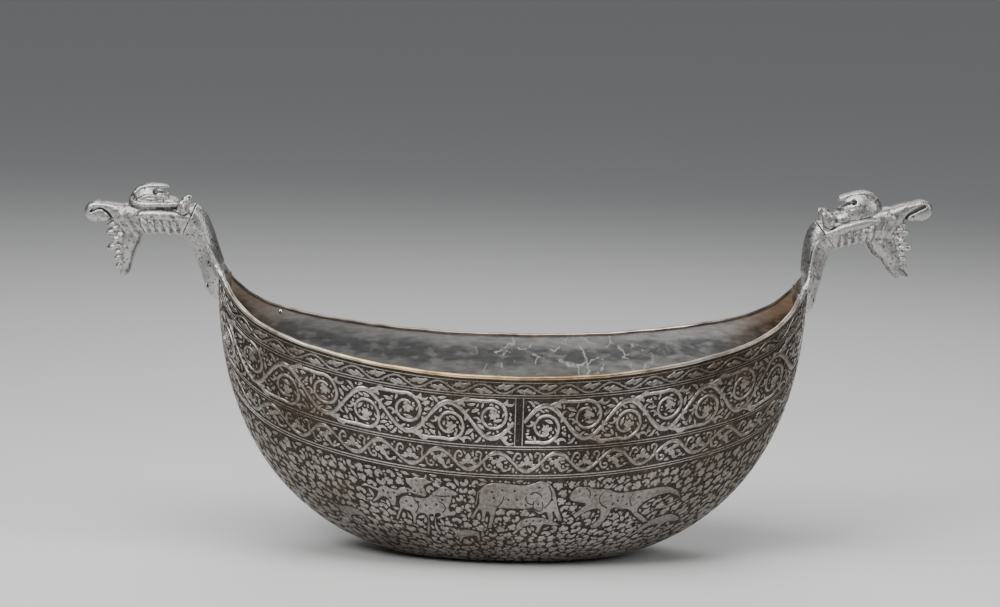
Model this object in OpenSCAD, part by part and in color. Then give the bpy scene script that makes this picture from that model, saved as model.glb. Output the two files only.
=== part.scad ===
// Boat-shaped begging bowl: a raised copper hull with a dragon's neck and head on each prow.
// Millimetres. The origin is the middle of the flat base, +X runs along the bowl and +Z is up.

/* [Bowl] */
// Length of the bowl at the rim
bowl_l = 410; // [360:1:460]
// Width of the bowl at the rim
bowl_w = 190; // [160:1:220]
// Height of the rim at the middle of the bowl
rim_h = 141; // [115:1:170]
// Rise of the rim from the middle to the ends
sheer_rise = 34.5; // [20:0.5:50]
// Extra lift of the rim close to each prow
prow_rise = 24; // [12:0.5:32]
// Length of the flat base
base_l = 155; // [120:1:190]
// Fullness of the hull's curve, 2 is an ellipse and more is squarer
fullness = 2.4; // [2.2:0.05:2.8]
// Thickness of the raised copper wall
wall = 1.6; // [1.2:0.1:2.6]

/* [Rim strip] */
// Width of the strip that caps the edge
strip_w = 3.6; // [3:0.1:5]
// Height of the strip that caps the edge
strip_h = 2.6; // [2:0.1:4]

/* [Necks] */
// Width of a neck where it straddles the rim
neck_foot_w = 25; // [20:0.5:30]
// Thickness of a neck where it straddles the rim
neck_foot_t = 16; // [14:0.5:19]
// Width of a neck halfway up
neck_mid_w = 21; // [17:0.5:25]
// Thickness of a neck halfway up
neck_mid_t = 16.5; // [14:0.5:19]
// Thickness that the nape adds to a neck on the side towards the bowl
nape_t = 5; // [3:0.5:6]
// Length of the lap that runs down the outside of the prow
lap_l = 23; // [18:0.5:28]
// Thickness of the lap at the rivets
lap_t = 9; // [6:0.5:11]

/* [Heads] */
// Distance of the left brow's rear corner outside the prow
left_head_out = 29; // [22:0.5:36]
// Height of the left brow's rear corner above the prow
left_head_up = 38; // [34:0.5:48]
// Pitch of the left head, nose up
left_pitch = 0.5; // [-6:0.5:16]
// Distance of the left snout's roll from the brow's rear corner
left_snout_l = 56.5; // [54:0.5:62]
// Lean of the left neck's foot away from the bowl
left_neck_lean = 23.5; // [8:0.5:30]
// Drop of the left snout's roll below the brow line
left_snout_drop = 3; // [1:0.5:6]
// Distance of the right brow's rear corner outside the prow
right_head_out = 18; // [12:0.5:26]
// Height of the right brow's rear corner above the prow
right_head_up = 39; // [32:0.5:46]
// Pitch of the right head, nose up
right_pitch = 14.5; // [2:0.5:20]
// Distance of the right snout's roll from the brow's rear corner
right_snout_l = 60.5; // [57:0.5:65]
// Lean of the right neck's foot away from the bowl
right_neck_lean = 13.5; // [4:0.5:24]
// Drop of the right snout's roll below the brow line
right_snout_drop = 4.5; // [2:0.5:7]
// Width of a head at the cheeks
head_w = 24; // [20:0.5:28]
// Width of the rolled snout
snout_w = 17; // [13:0.5:20]
// Outer radius of the rolled snout
roll_r = 8.3; // [7.6:0.1:9]
// Thickness of the lip that is rolled
lip_t = 6.8; // [5.4:0.1:7]
// Width of a lower jaw at its root
jaw_w = 18; // [14:0.5:20]
// Length of a tooth
tooth_l = 6.5; // [4.5:0.5:8]
// Height of the crest above the brow line
crest_h = 19.5; // [17:0.5:22]
// Width of the brow under the crest
brow_w = 20; // [16:0.5:23]
// Width of the crest's top
crest_top_w = 10; // [7:0.5:14]
// Radius of the chain eye through the crest
chain_eye_r = 1.9; // [1.5:0.1:2.2]
// Thickness of an ear
ear_t = 3.6; // [2.6:0.2:5]

/* [Fixings] */
// Radius of the tenon that joins a head to its neck
tenon_r = 4.5; // [3.5:0.1:5.2]
// Length of the tenon
tenon_l = 22; // [16:1:26]
// Radius of the pin across the tenon
pin_r = 1.5; // [1:0.1:2]
// Radius of a locating peg on a crest, ear or jaw
peg_r = 2; // [1.5:0.1:2.4]
// Length of a locating peg
peg_l = 6; // [4:0.5:8]
// Radius of a rivet's shank
rivet_r = 1.4; // [1:0.1:1.8]
// Radius of a rivet's head
rivet_head_r = 2.6; // [2.2:0.1:3.4]
// Distance between the two rivets of a neck
rivet_pitch = 11; // [9:0.5:13]
// Thickness of the plate inside each prow
plate_t = 1.2; // [0.8:0.1:2]
// Width of the plate inside each prow
plate_w = 36; // [28:1:42]
// Height of the plate inside each prow
plate_h = 26; // [20:1:32]

/* [Hidden] */
$fn = 48;

// Clearance left for solder between two pieces, and around a pin or peg
gap = 0.05;
tin = [0.62, 0.60, 0.58];
cast_tin = [0.72, 0.71, 0.70];
brass = [0.72, 0.58, 0.38];
copper = [0.62, 0.36, 0.22];

// Hull
half_l = bowl_l / 2;
half_w = bowl_w / 2;
sheer_power = 2.2;
prow_power = 14;
base_share = base_l / bowl_l;
base_depth = pow(1 - pow(base_share, fullness), 1 / fullness);
hull_sides = 80;
hull_levels = 15;
edge_drop = strip_h + gap;

// Height of the rim where the plan's cosine is c
function rim_z(c) = rim_h + sheer_rise * pow(abs(c), sheer_power) + prow_rise * pow(abs(c), prow_power);

prow_z = rim_z(1);

// Point of the hull's shell, inset from the outside, at plan angle a and at a depth below the rim
function shell_point(a, depth, inset, floor_z = 0) =
    let (top = rim_z(cos(a)),
         share = min(1, depth / (top - floor_z)),
         r = pow(1 - pow(share * base_depth, fullness), 1 / fullness))
    [(half_l - inset) * r * cos(a), (half_w - inset) * r * sin(a), top - depth];

// Ring of the shell at level k of n, closer together where the wall turns under
function shell_ring(k, n, inset, floor_z) = [
    for (i = [0 : hull_sides - 1])
        let (a = 360 * i / hull_sides,
             run = rim_z(cos(a)) - edge_drop - floor_z,
             depth = edge_drop + run * pow(sin(90 * k / n), 2 / fullness))
        shell_point(a, depth, inset, floor_z)
];

// Solid skinned over rings of points, which have the same number of points each
module skin(rings) {
    n = len(rings[0]);
    m = len(rings);
    sides = [
        for (i = [0 : m - 2], j = [0 : n - 1])
            let (a = i * n + j, b = i * n + (j + 1) % n)
            each [[a, b, b + n], [a, b + n, a + n]]
    ];
    first_cap = [for (j = [n - 1 : -1 : 0]) j];
    last_cap = [for (j = [0 : n - 1]) (m - 1) * n + j];
    polyhedron([for (ring = rings) each ring], concat([first_cap], sides, [last_cap]), convexity = 8);
}

module bowl_hull() {
    inside = [for (k = [hull_levels : -1 : 0]) shell_ring(k, hull_levels, wall, wall)];
    outside = [for (k = [0 : hull_levels]) shell_ring(k, hull_levels, 0, 0)];
    color(tin) difference() {
        skin(concat(inside, outside));
        for (side = [-1, 1]) rivet_holes(side);
        repair_hole();
    }
}

// Rim strip: a rounded bar that caps the edge from one neck to the other
strip_profile = [
    [-0.5, 0], [0.5, 0], [0.5, 0.55], [0.36, 0.88], [0.13, 1], [-0.13, 1], [-0.36, 0.88], [-0.5, 0.55]
];
strip_start = asin((neck_foot_w / 2 + gap) / half_w) + 0.4;
strip_steps = 72;

function strip_ring(a) =
    let (normal = [half_w * cos(a), half_l * sin(a)] / norm([half_w * cos(a), half_l * sin(a)]),
         top = rim_z(cos(a)))
    [for (p = strip_profile)
        let (out = p[0] * strip_w - wall / 2)
        [half_l * cos(a) + out * normal[0], half_w * sin(a) + out * normal[1], top - strip_h * (1 - p[1])]];

module rim_strip(side) {
    sweep = 180 - 2 * strip_start;
    start = side > 0 ? strip_start : 180 + strip_start;
    color(brass) skin([for (i = [0 : strip_steps]) strip_ring(start + sweep * i / strip_steps)]);
}

// Rivet that closes an old hole in the back wall, under the rim
repair_angle = 144;
repair_head_r = rivet_r + 0.5;
repair_depth = edge_drop + repair_head_r + 0.35;
repair_shank = wall + 0.3;

module at_repair() {
    p = shell_point(repair_angle, repair_depth, wall / 2);
    normal_turn = atan2(half_l * sin(repair_angle), half_w * cos(repair_angle));
    translate(p) rotate([0, 0, normal_turn]) rotate([0, 90, 0]) children();
}

module repair_hole() {
    at_repair() cylinder(h = 4 * wall, r = rivet_r + gap, center = true);
}

module repair_rivet() {
    head_h = repair_head_r * 0.6;
    color(tin) at_repair() {
        cylinder(h = repair_shank, r = rivet_r, center = true);
        for (end = [0, 1]) mirror([0, 0, end]) translate([0, 0, repair_shank / 2]) rivet_head(head_h, repair_head_r);
    }
}

// Domed head of a rivet, standing on the plane z = 0
module rivet_head(h, r = rivet_head_r) {
    ball = (h * h + r * r) / (2 * h);
    intersection() {
        translate([0, 0, h - ball]) sphere(r = ball);
        cylinder(h = h, r = r);
    }
}

// Dragons: each side's own head place and pitch, and the frame that they give
function head_out(side) = side < 0 ? left_head_out : right_head_out;
function head_up(side) = side < 0 ? left_head_up : right_head_up;
function pitch(side) = side < 0 ? left_pitch : right_pitch;
function neck_lean(side) = side < 0 ? left_neck_lean : right_neck_lean;
function roll_at(side) = side < 0 ? [left_snout_l, -left_snout_drop] : [right_snout_l, -right_snout_drop];

// Point of the head's own plane as distance along the bowl and height
function head_to_bowl(p, side) =
    let (t = pitch(side))
    [half_l + head_out(side) + p[0] * cos(t) - p[1] * sin(t), prow_z + head_up(side) + p[0] * sin(t) + p[1] * cos(t)];

module facing(side) {
    if (side < 0) mirror([1, 0, 0]) children();
    else children();
}

// Moves a piece from the head's own frame, which starts at the brow's rear corner
module on_head(side) {
    place = head_to_bowl([0, 0], side);
    facing(side) translate([place[0], 0, place[1]]) rotate([0, -pitch(side), 0]) children();
}

// Ring of a swept body: centre in the plane y = 0, direction of travel, half thickness and half width
ring_sides = 20;
function body_ring(at, direction, half_t, half_y, squareness) = [
    for (i = [0 : ring_sides - 1])
        let (a = -360 * i / ring_sides,
             out = sign(cos(a)) * pow(abs(cos(a)), 2 / squareness) * half_y,
             up = sign(sin(a)) * pow(abs(sin(a)), 2 / squareness) * half_t)
        [at[0] - up * sin(direction), out, at[1] + up * cos(direction)]
];

// Neck: a lap on the outside of the prow, a foot that straddles the rim and a shaft that bends to the seam
seam_at = [-7.3, -9.3];
seam_direction = 22;
seam_t = 20.4;
seam_w = head_w * 0.9;
foot_over = 4;
neck_steps = 8;
prow_r = half_w * half_w / half_l;
foot_at = [half_l + neck_foot_t / 2 - foot_over, prow_z];

function mix(a, b, t) = a + (b - a) * t;
function bezier(p, t) =
    pow(1 - t, 3) * p[0] + 3 * pow(1 - t, 2) * t * p[1] + 3 * (1 - t) * t * t * p[2] + pow(t, 3) * p[3];
function bezier_direction(p, t) =
    let (d = pow(1 - t, 2) * (p[1] - p[0]) + 2 * (1 - t) * t * (p[2] - p[1]) + t * t * (p[3] - p[2]))
    atan2(d[1], d[0]);

// Value that starts at a, passes through b halfway and ends at c
function through(a, b, c, t) = a * (1 - t) * (1 - 2 * t) + 4 * b * t * (1 - t) + c * t * (2 * t - 1);

// Ring of a neck: the side towards the bowl meets the outer side in a ridge, which is lost towards the seam
ridge_share = 0.36;
function neck_ring(at, direction, inner_t, outer_t, half_y, blend) = [
    for (i = [0 : ring_sides - 1])
        let (a = -360 * i / ring_sides,
             inner = sin(a) > 0,
             squareness = mix(inner ? 1.5 : 2.1, 2.4, blend),
             out = sign(cos(a)) * pow(abs(cos(a)), 2 / squareness) * half_y,
             up = sign(sin(a)) * pow(abs(sin(a)), 2 / squareness) * (inner ? inner_t : outer_t))
        [at[0] - up * sin(direction), out, at[1] + up * cos(direction)]
];

// The nape thickens a neck on its way up: on the right sooner, and there the ridge moves along with it
function nape(side, t) = nape_t * pow(t, side < 0 ? 1.3 : 0.5);
function ridge_move(side, t) = mix(side < 0 ? 0.1 : 0.85, 0.5, pow(t, 4));
function upright(direction) = [-sin(direction), cos(direction)];

function shaft_ring(side, path, t) =
    let (direction = bezier_direction(path, t),
         thick = through(neck_foot_t, neck_mid_t, seam_t, t),
         share = mix(ridge_share, 0.5, pow(t, 4)),
         extra = nape(side, t),
         moved = extra * ridge_move(side, t))
    neck_ring(bezier(path, t) + (thick * (0.5 - share) + moved) * upright(direction), direction,
        thick * share + extra - moved, thick * (1 - share) + moved,
        through(neck_foot_w, neck_mid_w, seam_w, t) / 2, pow(t, 4));

function neck_rings(side) =
    let (seam = head_to_bowl(seam_at, side),
         lean = seam_direction + pitch(side),
         reach = norm(seam - foot_at) * 0.35,
         start = reach * [sin(neck_lean(side)), cos(neck_lean(side))],
         path = [foot_at, foot_at + start, seam - 0.6 * reach * [cos(lean), sin(lean)], seam],
         lap = [[lap_l, 2.4, 0.5], [lap_l - 4, lap_t * 0.75, 0.72], [lap_l * 0.55, lap_t, 0.9]])
    concat(
        [for (p = lap)
            body_ring([half_l + p[1] / 2 - foot_over / 2, prow_z - p[0]], 90,
                (p[1] + foot_over) / 2, neck_foot_w / 2 * p[2], 2.6)],
        [for (i = [0 : neck_steps]) shaft_ring(side, path, i / neck_steps)]
    );

// The prow's wall and everything inside it, so that the lap and the foot fit around the edge
module prow_wall() {
    slot_top = prow_z - edge_drop + gap;
    translate([half_l - prow_r, 0, prow_z - lap_l * 2]) difference() {
        cylinder(h = slot_top - prow_z + lap_l * 2, r = prow_r + gap, $fn = 96);
        translate([0, 0, lap_l * 2 - foot_over - strip_h])
            cylinder(h = lap_l * 2, r = prow_r - wall - 4 * gap, $fn = 96);
    }
}

module neck(side) {
    color(cast_tin) difference() {
        facing(side) skin(neck_rings(side));
        facing(side) prow_wall();
        rivet_holes(side);
        rivet_seats(side);
        at_seam(side) cylinder(h = tenon_l + 2 * gap, r = tenon_r + gap, center = true);
        at_pin(side) cylinder(h = 2 * head_w, r = pin_r + gap, center = true);
    }
}

// Tenon: a dowel in both sides of the seam, with a pin across it in the neck
module at_seam(side) {
    on_head(side) translate([seam_at[0], 0, seam_at[1]]) rotate([0, 90 - seam_direction, 0]) children();
}

module at_pin(side) {
    at_seam(side) translate([0, 0, -tenon_l / 4]) rotate([90, 0, 0]) children();
}

module tenon(side) {
    color(brass) difference() {
        at_seam(side) cylinder(h = tenon_l, r = tenon_r, center = true);
        at_pin(side) cylinder(h = 2 * head_w, r = pin_r + gap, center = true);
    }
}

module tenon_pin(side) {
    color(cast_tin) at_pin(side) cylinder(h = seam_w, r = pin_r, center = true);
}

// Rivets and the plate inside the prow that they clamp
plate_top = foot_over + strip_h + 1;
plate_ease = 0.3;
inside_l = half_l - wall;
inside_w = half_w - wall;
inside_r = inside_w * inside_w / inside_l;
wall_top_x = shell_point(0, plate_top, wall, wall)[0];
wall_low_x = shell_point(0, plate_top + plate_h, wall, wall)[0];
plate_lean = atan((wall_top_x - wall_low_x) / plate_h);
rivet_z = prow_z - lap_l * 0.62;
rivet_out = half_l + lap_t * 0.9;
rivet_in = wall_top_x - plate_t - 3 * plate_ease - rivet_pitch * rivet_pitch / (8 * inside_r);

module at_rivets(side) {
    for (y = [-1, 1]) facing(side) translate([0, y * rivet_pitch / 2, rivet_z]) rotate([0, 90, 0]) children();
}

module rivet_holes(side) {
    at_rivets(side) translate([0, 0, half_l - 4 * lap_t]) cylinder(h = 8 * lap_t, r = rivet_r + gap);
}

// Flat places on the lap under the rivets' heads
module rivet_seats(side) {
    at_rivets(side) translate([0, 0, rivet_out]) cylinder(h = lap_t, r = rivet_head_r + gap);
}

module neck_rivets(side) {
    head_h = rivet_head_r * 0.5;
    color(copper) at_rivets(side) {
        translate([0, 0, rivet_in - head_h / 2]) cylinder(h = rivet_out - rivet_in + head_h, r = rivet_r);
        translate([0, 0, rivet_out]) rivet_head(head_h);
        translate([0, 0, rivet_in]) mirror([0, 0, 1]) rivet_head(head_h);
    }
}

// The plate is rolled to the prow's inside, leans with the wall and narrows to a rounded lower end
module prow_plate(side) {
    outline = [for (a = [0 : 15 : 180]) [plate_w / 2 * cos(a), -plate_h * pow(sin(a), 0.8)]];
    outer_r = inside_r - plate_ease;
    color(copper) difference() {
        facing(side) translate([wall_top_x, 0, prow_z - plate_top]) rotate([0, plate_lean, 0])
            intersection() {
                translate([-inside_r, 0, -2 * plate_h]) difference() {
                    cylinder(h = 3 * plate_h, r = outer_r);
                    translate([0, 0, -1]) cylinder(h = 3 * plate_h + 2, r = outer_r - plate_t);
                }
                rotate([90, 0, 90]) linear_extrude(height = 2 * inside_r, center = true) polygon(outline);
            }
        rivet_holes(side);
    }
}

// Head: skull, cheeks and upper jaw that run out into a snout rolled under on itself
roll_start = 98;
roll_turn = 236;
roll_steps = 12;
roll_mid = roll_r - lip_t / 2;

muzzle_at = [33.5, -7];

function head_rings(side) =
    let (roll = roll_at(side))
    concat(
        [
            body_ring(seam_at + nape_t / 2 * upright(seam_direction), seam_direction, (seam_t + nape_t) / 2, seam_w / 2, 2.4),
            body_ring([-1, -7], 10, 10.4, head_w / 2, 2.4),
            body_ring([12, -7], 2, 9.6, head_w / 2, 2.4),
            body_ring([25, -7.6], 2, 10.4, head_w * 0.47, 2.4),
            body_ring(muzzle_at, 8, 10.2, head_w * 0.43, 2.4),
            body_ring(mix(muzzle_at, roll, 0.31) + [0, 2], 18, 7, snout_w * 0.52, 2.4),
            body_ring(mix(muzzle_at, roll, 0.57) + [0, 4.4], 16, lip_t * 0.64, snout_w / 2, 2.4)
        ],
        [for (i = [0 : roll_steps])
            let (a = roll_start - roll_turn * i / roll_steps)
            body_ring(roll + roll_mid * [cos(a), sin(a)], a - 90,
                lip_t / 2 * mix(1, 0.72, i / roll_steps), snout_w / 2 * mix(1, 0.8, i / roll_steps), 2.4)]
    );

seat_from = 0;
seat_to = 33;
jaw_seat_from = 22.6;
jaw_seat_z = -15;
jaw_peg_at = 30;
crest_peg_at = 16;
ear_peg_at = [-5.6, 1];

module head(side) {
    seat_h = 2 * crest_h;
    color(cast_tin) difference() {
        on_head(side) skin(head_rings(side));
        on_head(side) translate([seat_from, -head_w, 0]) cube([seat_to - seat_from, 2 * head_w, seat_h]);
        at_seam(side) cylinder(h = tenon_l + 2 * gap, r = tenon_r + gap, center = true);
        on_head(side) translate([crest_peg_at, 0, -peg_l - gap]) cylinder(h = 2 * peg_l, r = peg_r + gap);
        on_head(side) translate([jaw_seat_from, -head_w, jaw_seat_z - seat_h]) cube([seat_to, 2 * head_w, seat_h]);
        on_head(side) translate([jaw_peg_at, 0, jaw_seat_z]) jaw_peg(gap);
        on_head(side) translate([ear_peg_at[0], 0, ear_peg_at[1]]) rotate([90, 0, 0])
            for (end = [0, 1]) mirror([0, 0, end]) translate([0, 0, head_w / 2 - peg_l])
                cylinder(h = head_w, r = peg_r + gap);
    }
}

// Crest: a brow block that curls up and back over itself, with the chain's eye under the curl
eye_at = [15.3, 12.2];
crest_front = seat_to - gap;
crest_rear = seat_from + gap;
slot_h = chain_eye_r * 1.1;
curl_centre = [17, 4];
curl_tip = 5.5;

function crest_outline() = concat(
    [[crest_rear, gap], [crest_front, gap], [crest_front, 7.5]],
    [for (a = [30 : 12 : 114]) [curl_centre[0] + 16.2 * cos(a), curl_centre[1] + (crest_h - curl_centre[1]) * sin(a)]],
    [[curl_tip + 2.6, crest_h - 1.2], [curl_tip, crest_h - 2.8], [curl_tip + 3, crest_h - 5]],
    [[eye_at[0], eye_at[1] + slot_h / 2], [eye_at[0], eye_at[1] - slot_h / 2], [5.5, 9.3], [crest_rear, 7.4]]
);

// Section of the crest across the head: broad at the brow, narrow at the top
crest_section = [
    [-brow_w / 2, 0], [brow_w / 2, 0], [brow_w / 2, 4.5], [crest_top_w / 2, 9.5], [crest_top_w / 2, crest_h + 1],
    [-crest_top_w / 2, crest_h + 1], [-crest_top_w / 2, 9.5], [-brow_w / 2, 4.5]
];

module crest(side) {
    color(cast_tin) on_head(side) {
        difference() {
            intersection() {
                rotate([90, 0, 0]) linear_extrude(height = 2 * head_w, center = true) polygon(crest_outline());
                rotate([90, 0, 90]) linear_extrude(height = 3 * seat_to, center = true) polygon(crest_section);
            }
            translate([eye_at[0], 0, eye_at[1]]) rotate([90, 0, 0])
                cylinder(h = 2 * head_w, r = chain_eye_r, center = true);
        }
        translate([crest_peg_at, 0, -peg_l]) cylinder(h = peg_l + 2, r = peg_r);
    }
}

// Lower jaw: hangs open from the cheeks, with a row of teeth along each edge
// A tooth is given by its root, its rise above level and its size
jaw_direction = -80;
jaw_rings = [
    body_ring([31.2, jaw_seat_z - gap], -90, 8, jaw_w / 2, 2.4),
    body_ring([33.4, -23], jaw_direction, 7.8, jaw_w * 0.47, 2.4),
    body_ring([34.4, -32], jaw_direction, 5.9, jaw_w * 0.4, 2.4),
    body_ring([35.6, -41], jaw_direction + 10, 4.4, jaw_w * 0.31, 2.4),
    body_ring([39.4, -47.4], jaw_direction + 34, 1.8, jaw_w * 0.13, 2.4)
];
teeth = [[40.6, -20, 14, 1], [40, -27.4, -8, 1], [38.6, -34.8, -18, 0.6], [37.8, -40.4, -18, 0.6]];
tooth_root = 3;
tooth_root_r = 3.1;
tooth_tip_r = 0.9;

module jaw_peg(extra) {
    translate([0, 0, -peg_l]) cylinder(h = 2 * peg_l + extra, r = peg_r + extra);
}

module lower_jaw(side) {
    color(cast_tin) on_head(side) {
        skin(jaw_rings);
        translate([jaw_peg_at, 0, jaw_seat_z]) jaw_peg(0);
        for (tooth = teeth, y = [-1, 1])
            translate([tooth[0] - tooth_root, y * jaw_w * 0.23, tooth[1]]) rotate([0, 90 - tooth[2], 0])
                cylinder(h = tooth_l * tooth[3] + tooth_root, r1 = tooth_root_r * sqrt(tooth[3]), r2 = tooth_tip_r, $fn = 24);
    }
}

// Ears: a pair of pointed leaves pegged to the sides of the skull
ear_tip = [-10, 11];
ear_foot = [-6, -2.2];
ear_round = 4.6;

module ear_leaf() {
    hull() {
        translate(ear_foot + [0, ear_round]) circle(r = ear_round);
        translate(ear_tip) circle(r = 0.6);
    }
}

module ears(side) {
    color(cast_tin) on_head(side) for (end = [0, 1]) mirror([0, end, 0]) {
        translate([0, -head_w / 2 - gap, 0]) rotate([90, 0, 0]) linear_extrude(height = ear_t) ear_leaf();
        translate([ear_peg_at[0], -head_w / 2 - gap, ear_peg_at[1]]) rotate([-90, 0, 0])
            cylinder(h = peg_l - gap, r = peg_r);
    }
}

bowl_hull();
rim_strip(-1);  // rim_strip_front
rim_strip(1);  // rim_strip_back
repair_rivet();
neck(-1);  // left_neck
head(-1);  // left_head
crest(-1);  // left_crest
lower_jaw(-1);  // left_lower_jaw
ears(-1);  // left_ears
tenon(-1);  // left_tenon
tenon_pin(-1);  // left_tenon_pin
prow_plate(-1);  // left_prow_plate
neck_rivets(-1);  // left_neck_rivets
neck(1);  // right_neck
head(1);  // right_head
crest(1);  // right_crest
lower_jaw(1);  // right_lower_jaw
ears(1);  // right_ears
tenon(1);  // right_tenon
tenon_pin(1);  // right_tenon_pin
prow_plate(1);  // right_prow_plate
neck_rivets(1);  // right_neck_rivets
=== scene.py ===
import math

import bmesh
import bpy
import numpy as np
from mathutils import Matrix, Vector


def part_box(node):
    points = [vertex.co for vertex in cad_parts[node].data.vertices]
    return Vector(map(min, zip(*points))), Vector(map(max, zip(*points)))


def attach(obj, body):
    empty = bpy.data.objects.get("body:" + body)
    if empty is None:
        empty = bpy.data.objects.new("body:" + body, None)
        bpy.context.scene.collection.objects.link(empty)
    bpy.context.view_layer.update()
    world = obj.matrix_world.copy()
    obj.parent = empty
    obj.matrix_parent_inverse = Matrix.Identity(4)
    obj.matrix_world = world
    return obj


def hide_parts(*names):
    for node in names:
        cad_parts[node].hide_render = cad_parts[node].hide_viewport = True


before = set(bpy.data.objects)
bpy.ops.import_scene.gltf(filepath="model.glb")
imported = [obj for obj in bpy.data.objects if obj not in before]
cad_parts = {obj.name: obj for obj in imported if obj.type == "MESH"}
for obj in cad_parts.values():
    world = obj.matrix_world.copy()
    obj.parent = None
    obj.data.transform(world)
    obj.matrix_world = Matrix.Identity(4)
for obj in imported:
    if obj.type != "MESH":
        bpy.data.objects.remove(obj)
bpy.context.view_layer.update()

# Camera
# A long lens in front of the bowl, a little above the rim. The bowl stands turned by about a degree
# and the picture leans by a degree and a half, so that the left prow is the higher one.
MM = 0.001
view_distance = 2000 * MM
view_height = math.radians(8.28)
bowl_turned = math.radians(1.28)
picture_lean = math.radians(-1.51)
aim_point = Vector((-8.9, 0, 176.3)) * MM
lens_length = 103.0
film_width = 36.0
unturn = Matrix.Rotation(-bowl_turned, 3, "Z")
to_right = unturn @ Vector((1, 0, 0))
to_front = unturn @ Vector((0, math.cos(view_height), -math.sin(view_height)))
to_top = unturn @ Vector((0, math.sin(view_height), math.cos(view_height)))
camera_x = to_right * math.cos(picture_lean) - to_top * math.sin(picture_lean)
camera_y = to_right * math.sin(picture_lean) + to_top * math.cos(picture_lean)
camera_data = bpy.data.cameras.new("camera")
camera_data.lens = lens_length
camera_data.sensor_width = film_width
camera_data.sensor_fit = "HORIZONTAL"
camera_data.clip_end = 50
camera = bpy.data.objects.new("camera", camera_data)
bpy.context.collection.objects.link(camera)
camera_turn = Matrix((camera_x, camera_y, -to_front)).transposed().to_4x4()
camera.matrix_world = Matrix.Translation(unturn @ aim_point - to_front * view_distance) @ camera_turn
bpy.context.scene.camera = camera

# Bowl
# The body is raised from one sheet of copper over stakes, tinned inside and out, then chased outside.
# Its plan is an ellipse, its rim sweeps up to the prows and its underside is beaten flat to stand on.
half_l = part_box("bowl_hull")[1][0] / MM
half_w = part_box("bowl_hull")[1][1] / MM
rim_middle = 141.0
rim_sheer = 34.5
sheer_power = 2.2
prow_lift = 24.0
lift_power = 14
base_share = 155 / 410
fullness = 2.4
wall_thickness = 1.6
base_depth = (1 - base_share**fullness) ** (1 / fullness)


def rim_height(turn):
    lengthwise = np.abs(np.cos(turn))
    return rim_middle + rim_sheer * lengthwise**sheer_power + prow_lift * lengthwise**lift_power


def wall_point(turn, depth):
    top = rim_height(turn)
    share = np.clip(depth / top, 0, 1) * base_depth
    reach = (1 - share**fullness) ** (1 / fullness)
    x = half_l * reach * np.cos(turn)
    y = half_w * reach * np.sin(turn)
    return np.stack([x, y, top - depth], axis=-1)


def on_wall(turn, depth, lift):
    turn_step = 1e-4
    depth_step = 0.02
    spot = wall_point(turn, depth)
    across = wall_point(turn + turn_step, depth) - wall_point(turn - turn_step, depth)
    down = wall_point(turn, depth + depth_step) - wall_point(turn, depth - depth_step)
    out = np.cross(down, across)
    out /= np.linalg.norm(out, axis=-1, keepdims=True)
    return spot + out * np.asarray(lift)[..., None]


def mesh_points(piece):
    points = np.empty(len(piece.data.vertices) * 3)
    piece.data.vertices.foreach_get("co", points)
    return points.reshape(-1, 3)


def set_mesh_points(piece, points):
    piece.data.vertices.foreach_set("co", np.asarray(points, dtype=float).ravel())
    piece.data.update()


def pick_only(piece):
    bpy.ops.object.select_all(action="DESELECT")
    bpy.context.view_layer.objects.active = piece
    piece.select_set(True)


def apply_modifiers(piece):
    pick_only(piece)
    for modifier in list(piece.modifiers):
        bpy.ops.object.modifier_apply(modifier=modifier.name)


def delete_points(piece, gone):
    pick_only(piece)
    bpy.ops.object.mode_set(mode="EDIT")
    bpy.ops.mesh.select_mode(type="VERT")
    bpy.ops.mesh.select_all(action="DESELECT")
    bpy.ops.object.mode_set(mode="OBJECT")
    piece.data.vertices.foreach_set("select", np.asarray(gone, dtype=bool))
    bpy.ops.object.mode_set(mode="EDIT")
    bpy.ops.mesh.delete(type="VERT")
    bpy.ops.object.mode_set(mode="OBJECT")


bpy.ops.mesh.primitive_uv_sphere_add(segments=320, ring_count=200, radius=1)
bowl = bpy.context.object
bowl.name = "raised_bowl"
delete_points(bowl, mesh_points(bowl)[:, 2] > 1e-4)
ball = mesh_points(bowl)
turn = np.arctan2(ball[:, 1], ball[:, 0])
under = np.arcsin(np.clip(-ball[:, 2], 0, 1)) / (math.pi / 2)
base_from = 0.88
edge_under_strip = 1.5
wall_run = np.sin(np.clip(under / base_from, 0, 1) * math.pi / 2)
depth = edge_under_strip + (rim_height(turn) - edge_under_strip) * wall_run ** (2 / fullness)
raised = wall_point(turn, depth)
inward = np.where(under > base_from, (1 - under) / (1 - base_from), 1.0)
raised[:, :2] *= inward[:, None]
set_mesh_points(bowl, raised * MM)
thick = bowl.modifiers.new("sheet", "SOLIDIFY")
thick.thickness = wall_thickness * MM
thick.offset = -1
thick.material_offset = 1
thick.material_offset_rim = 1


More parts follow.
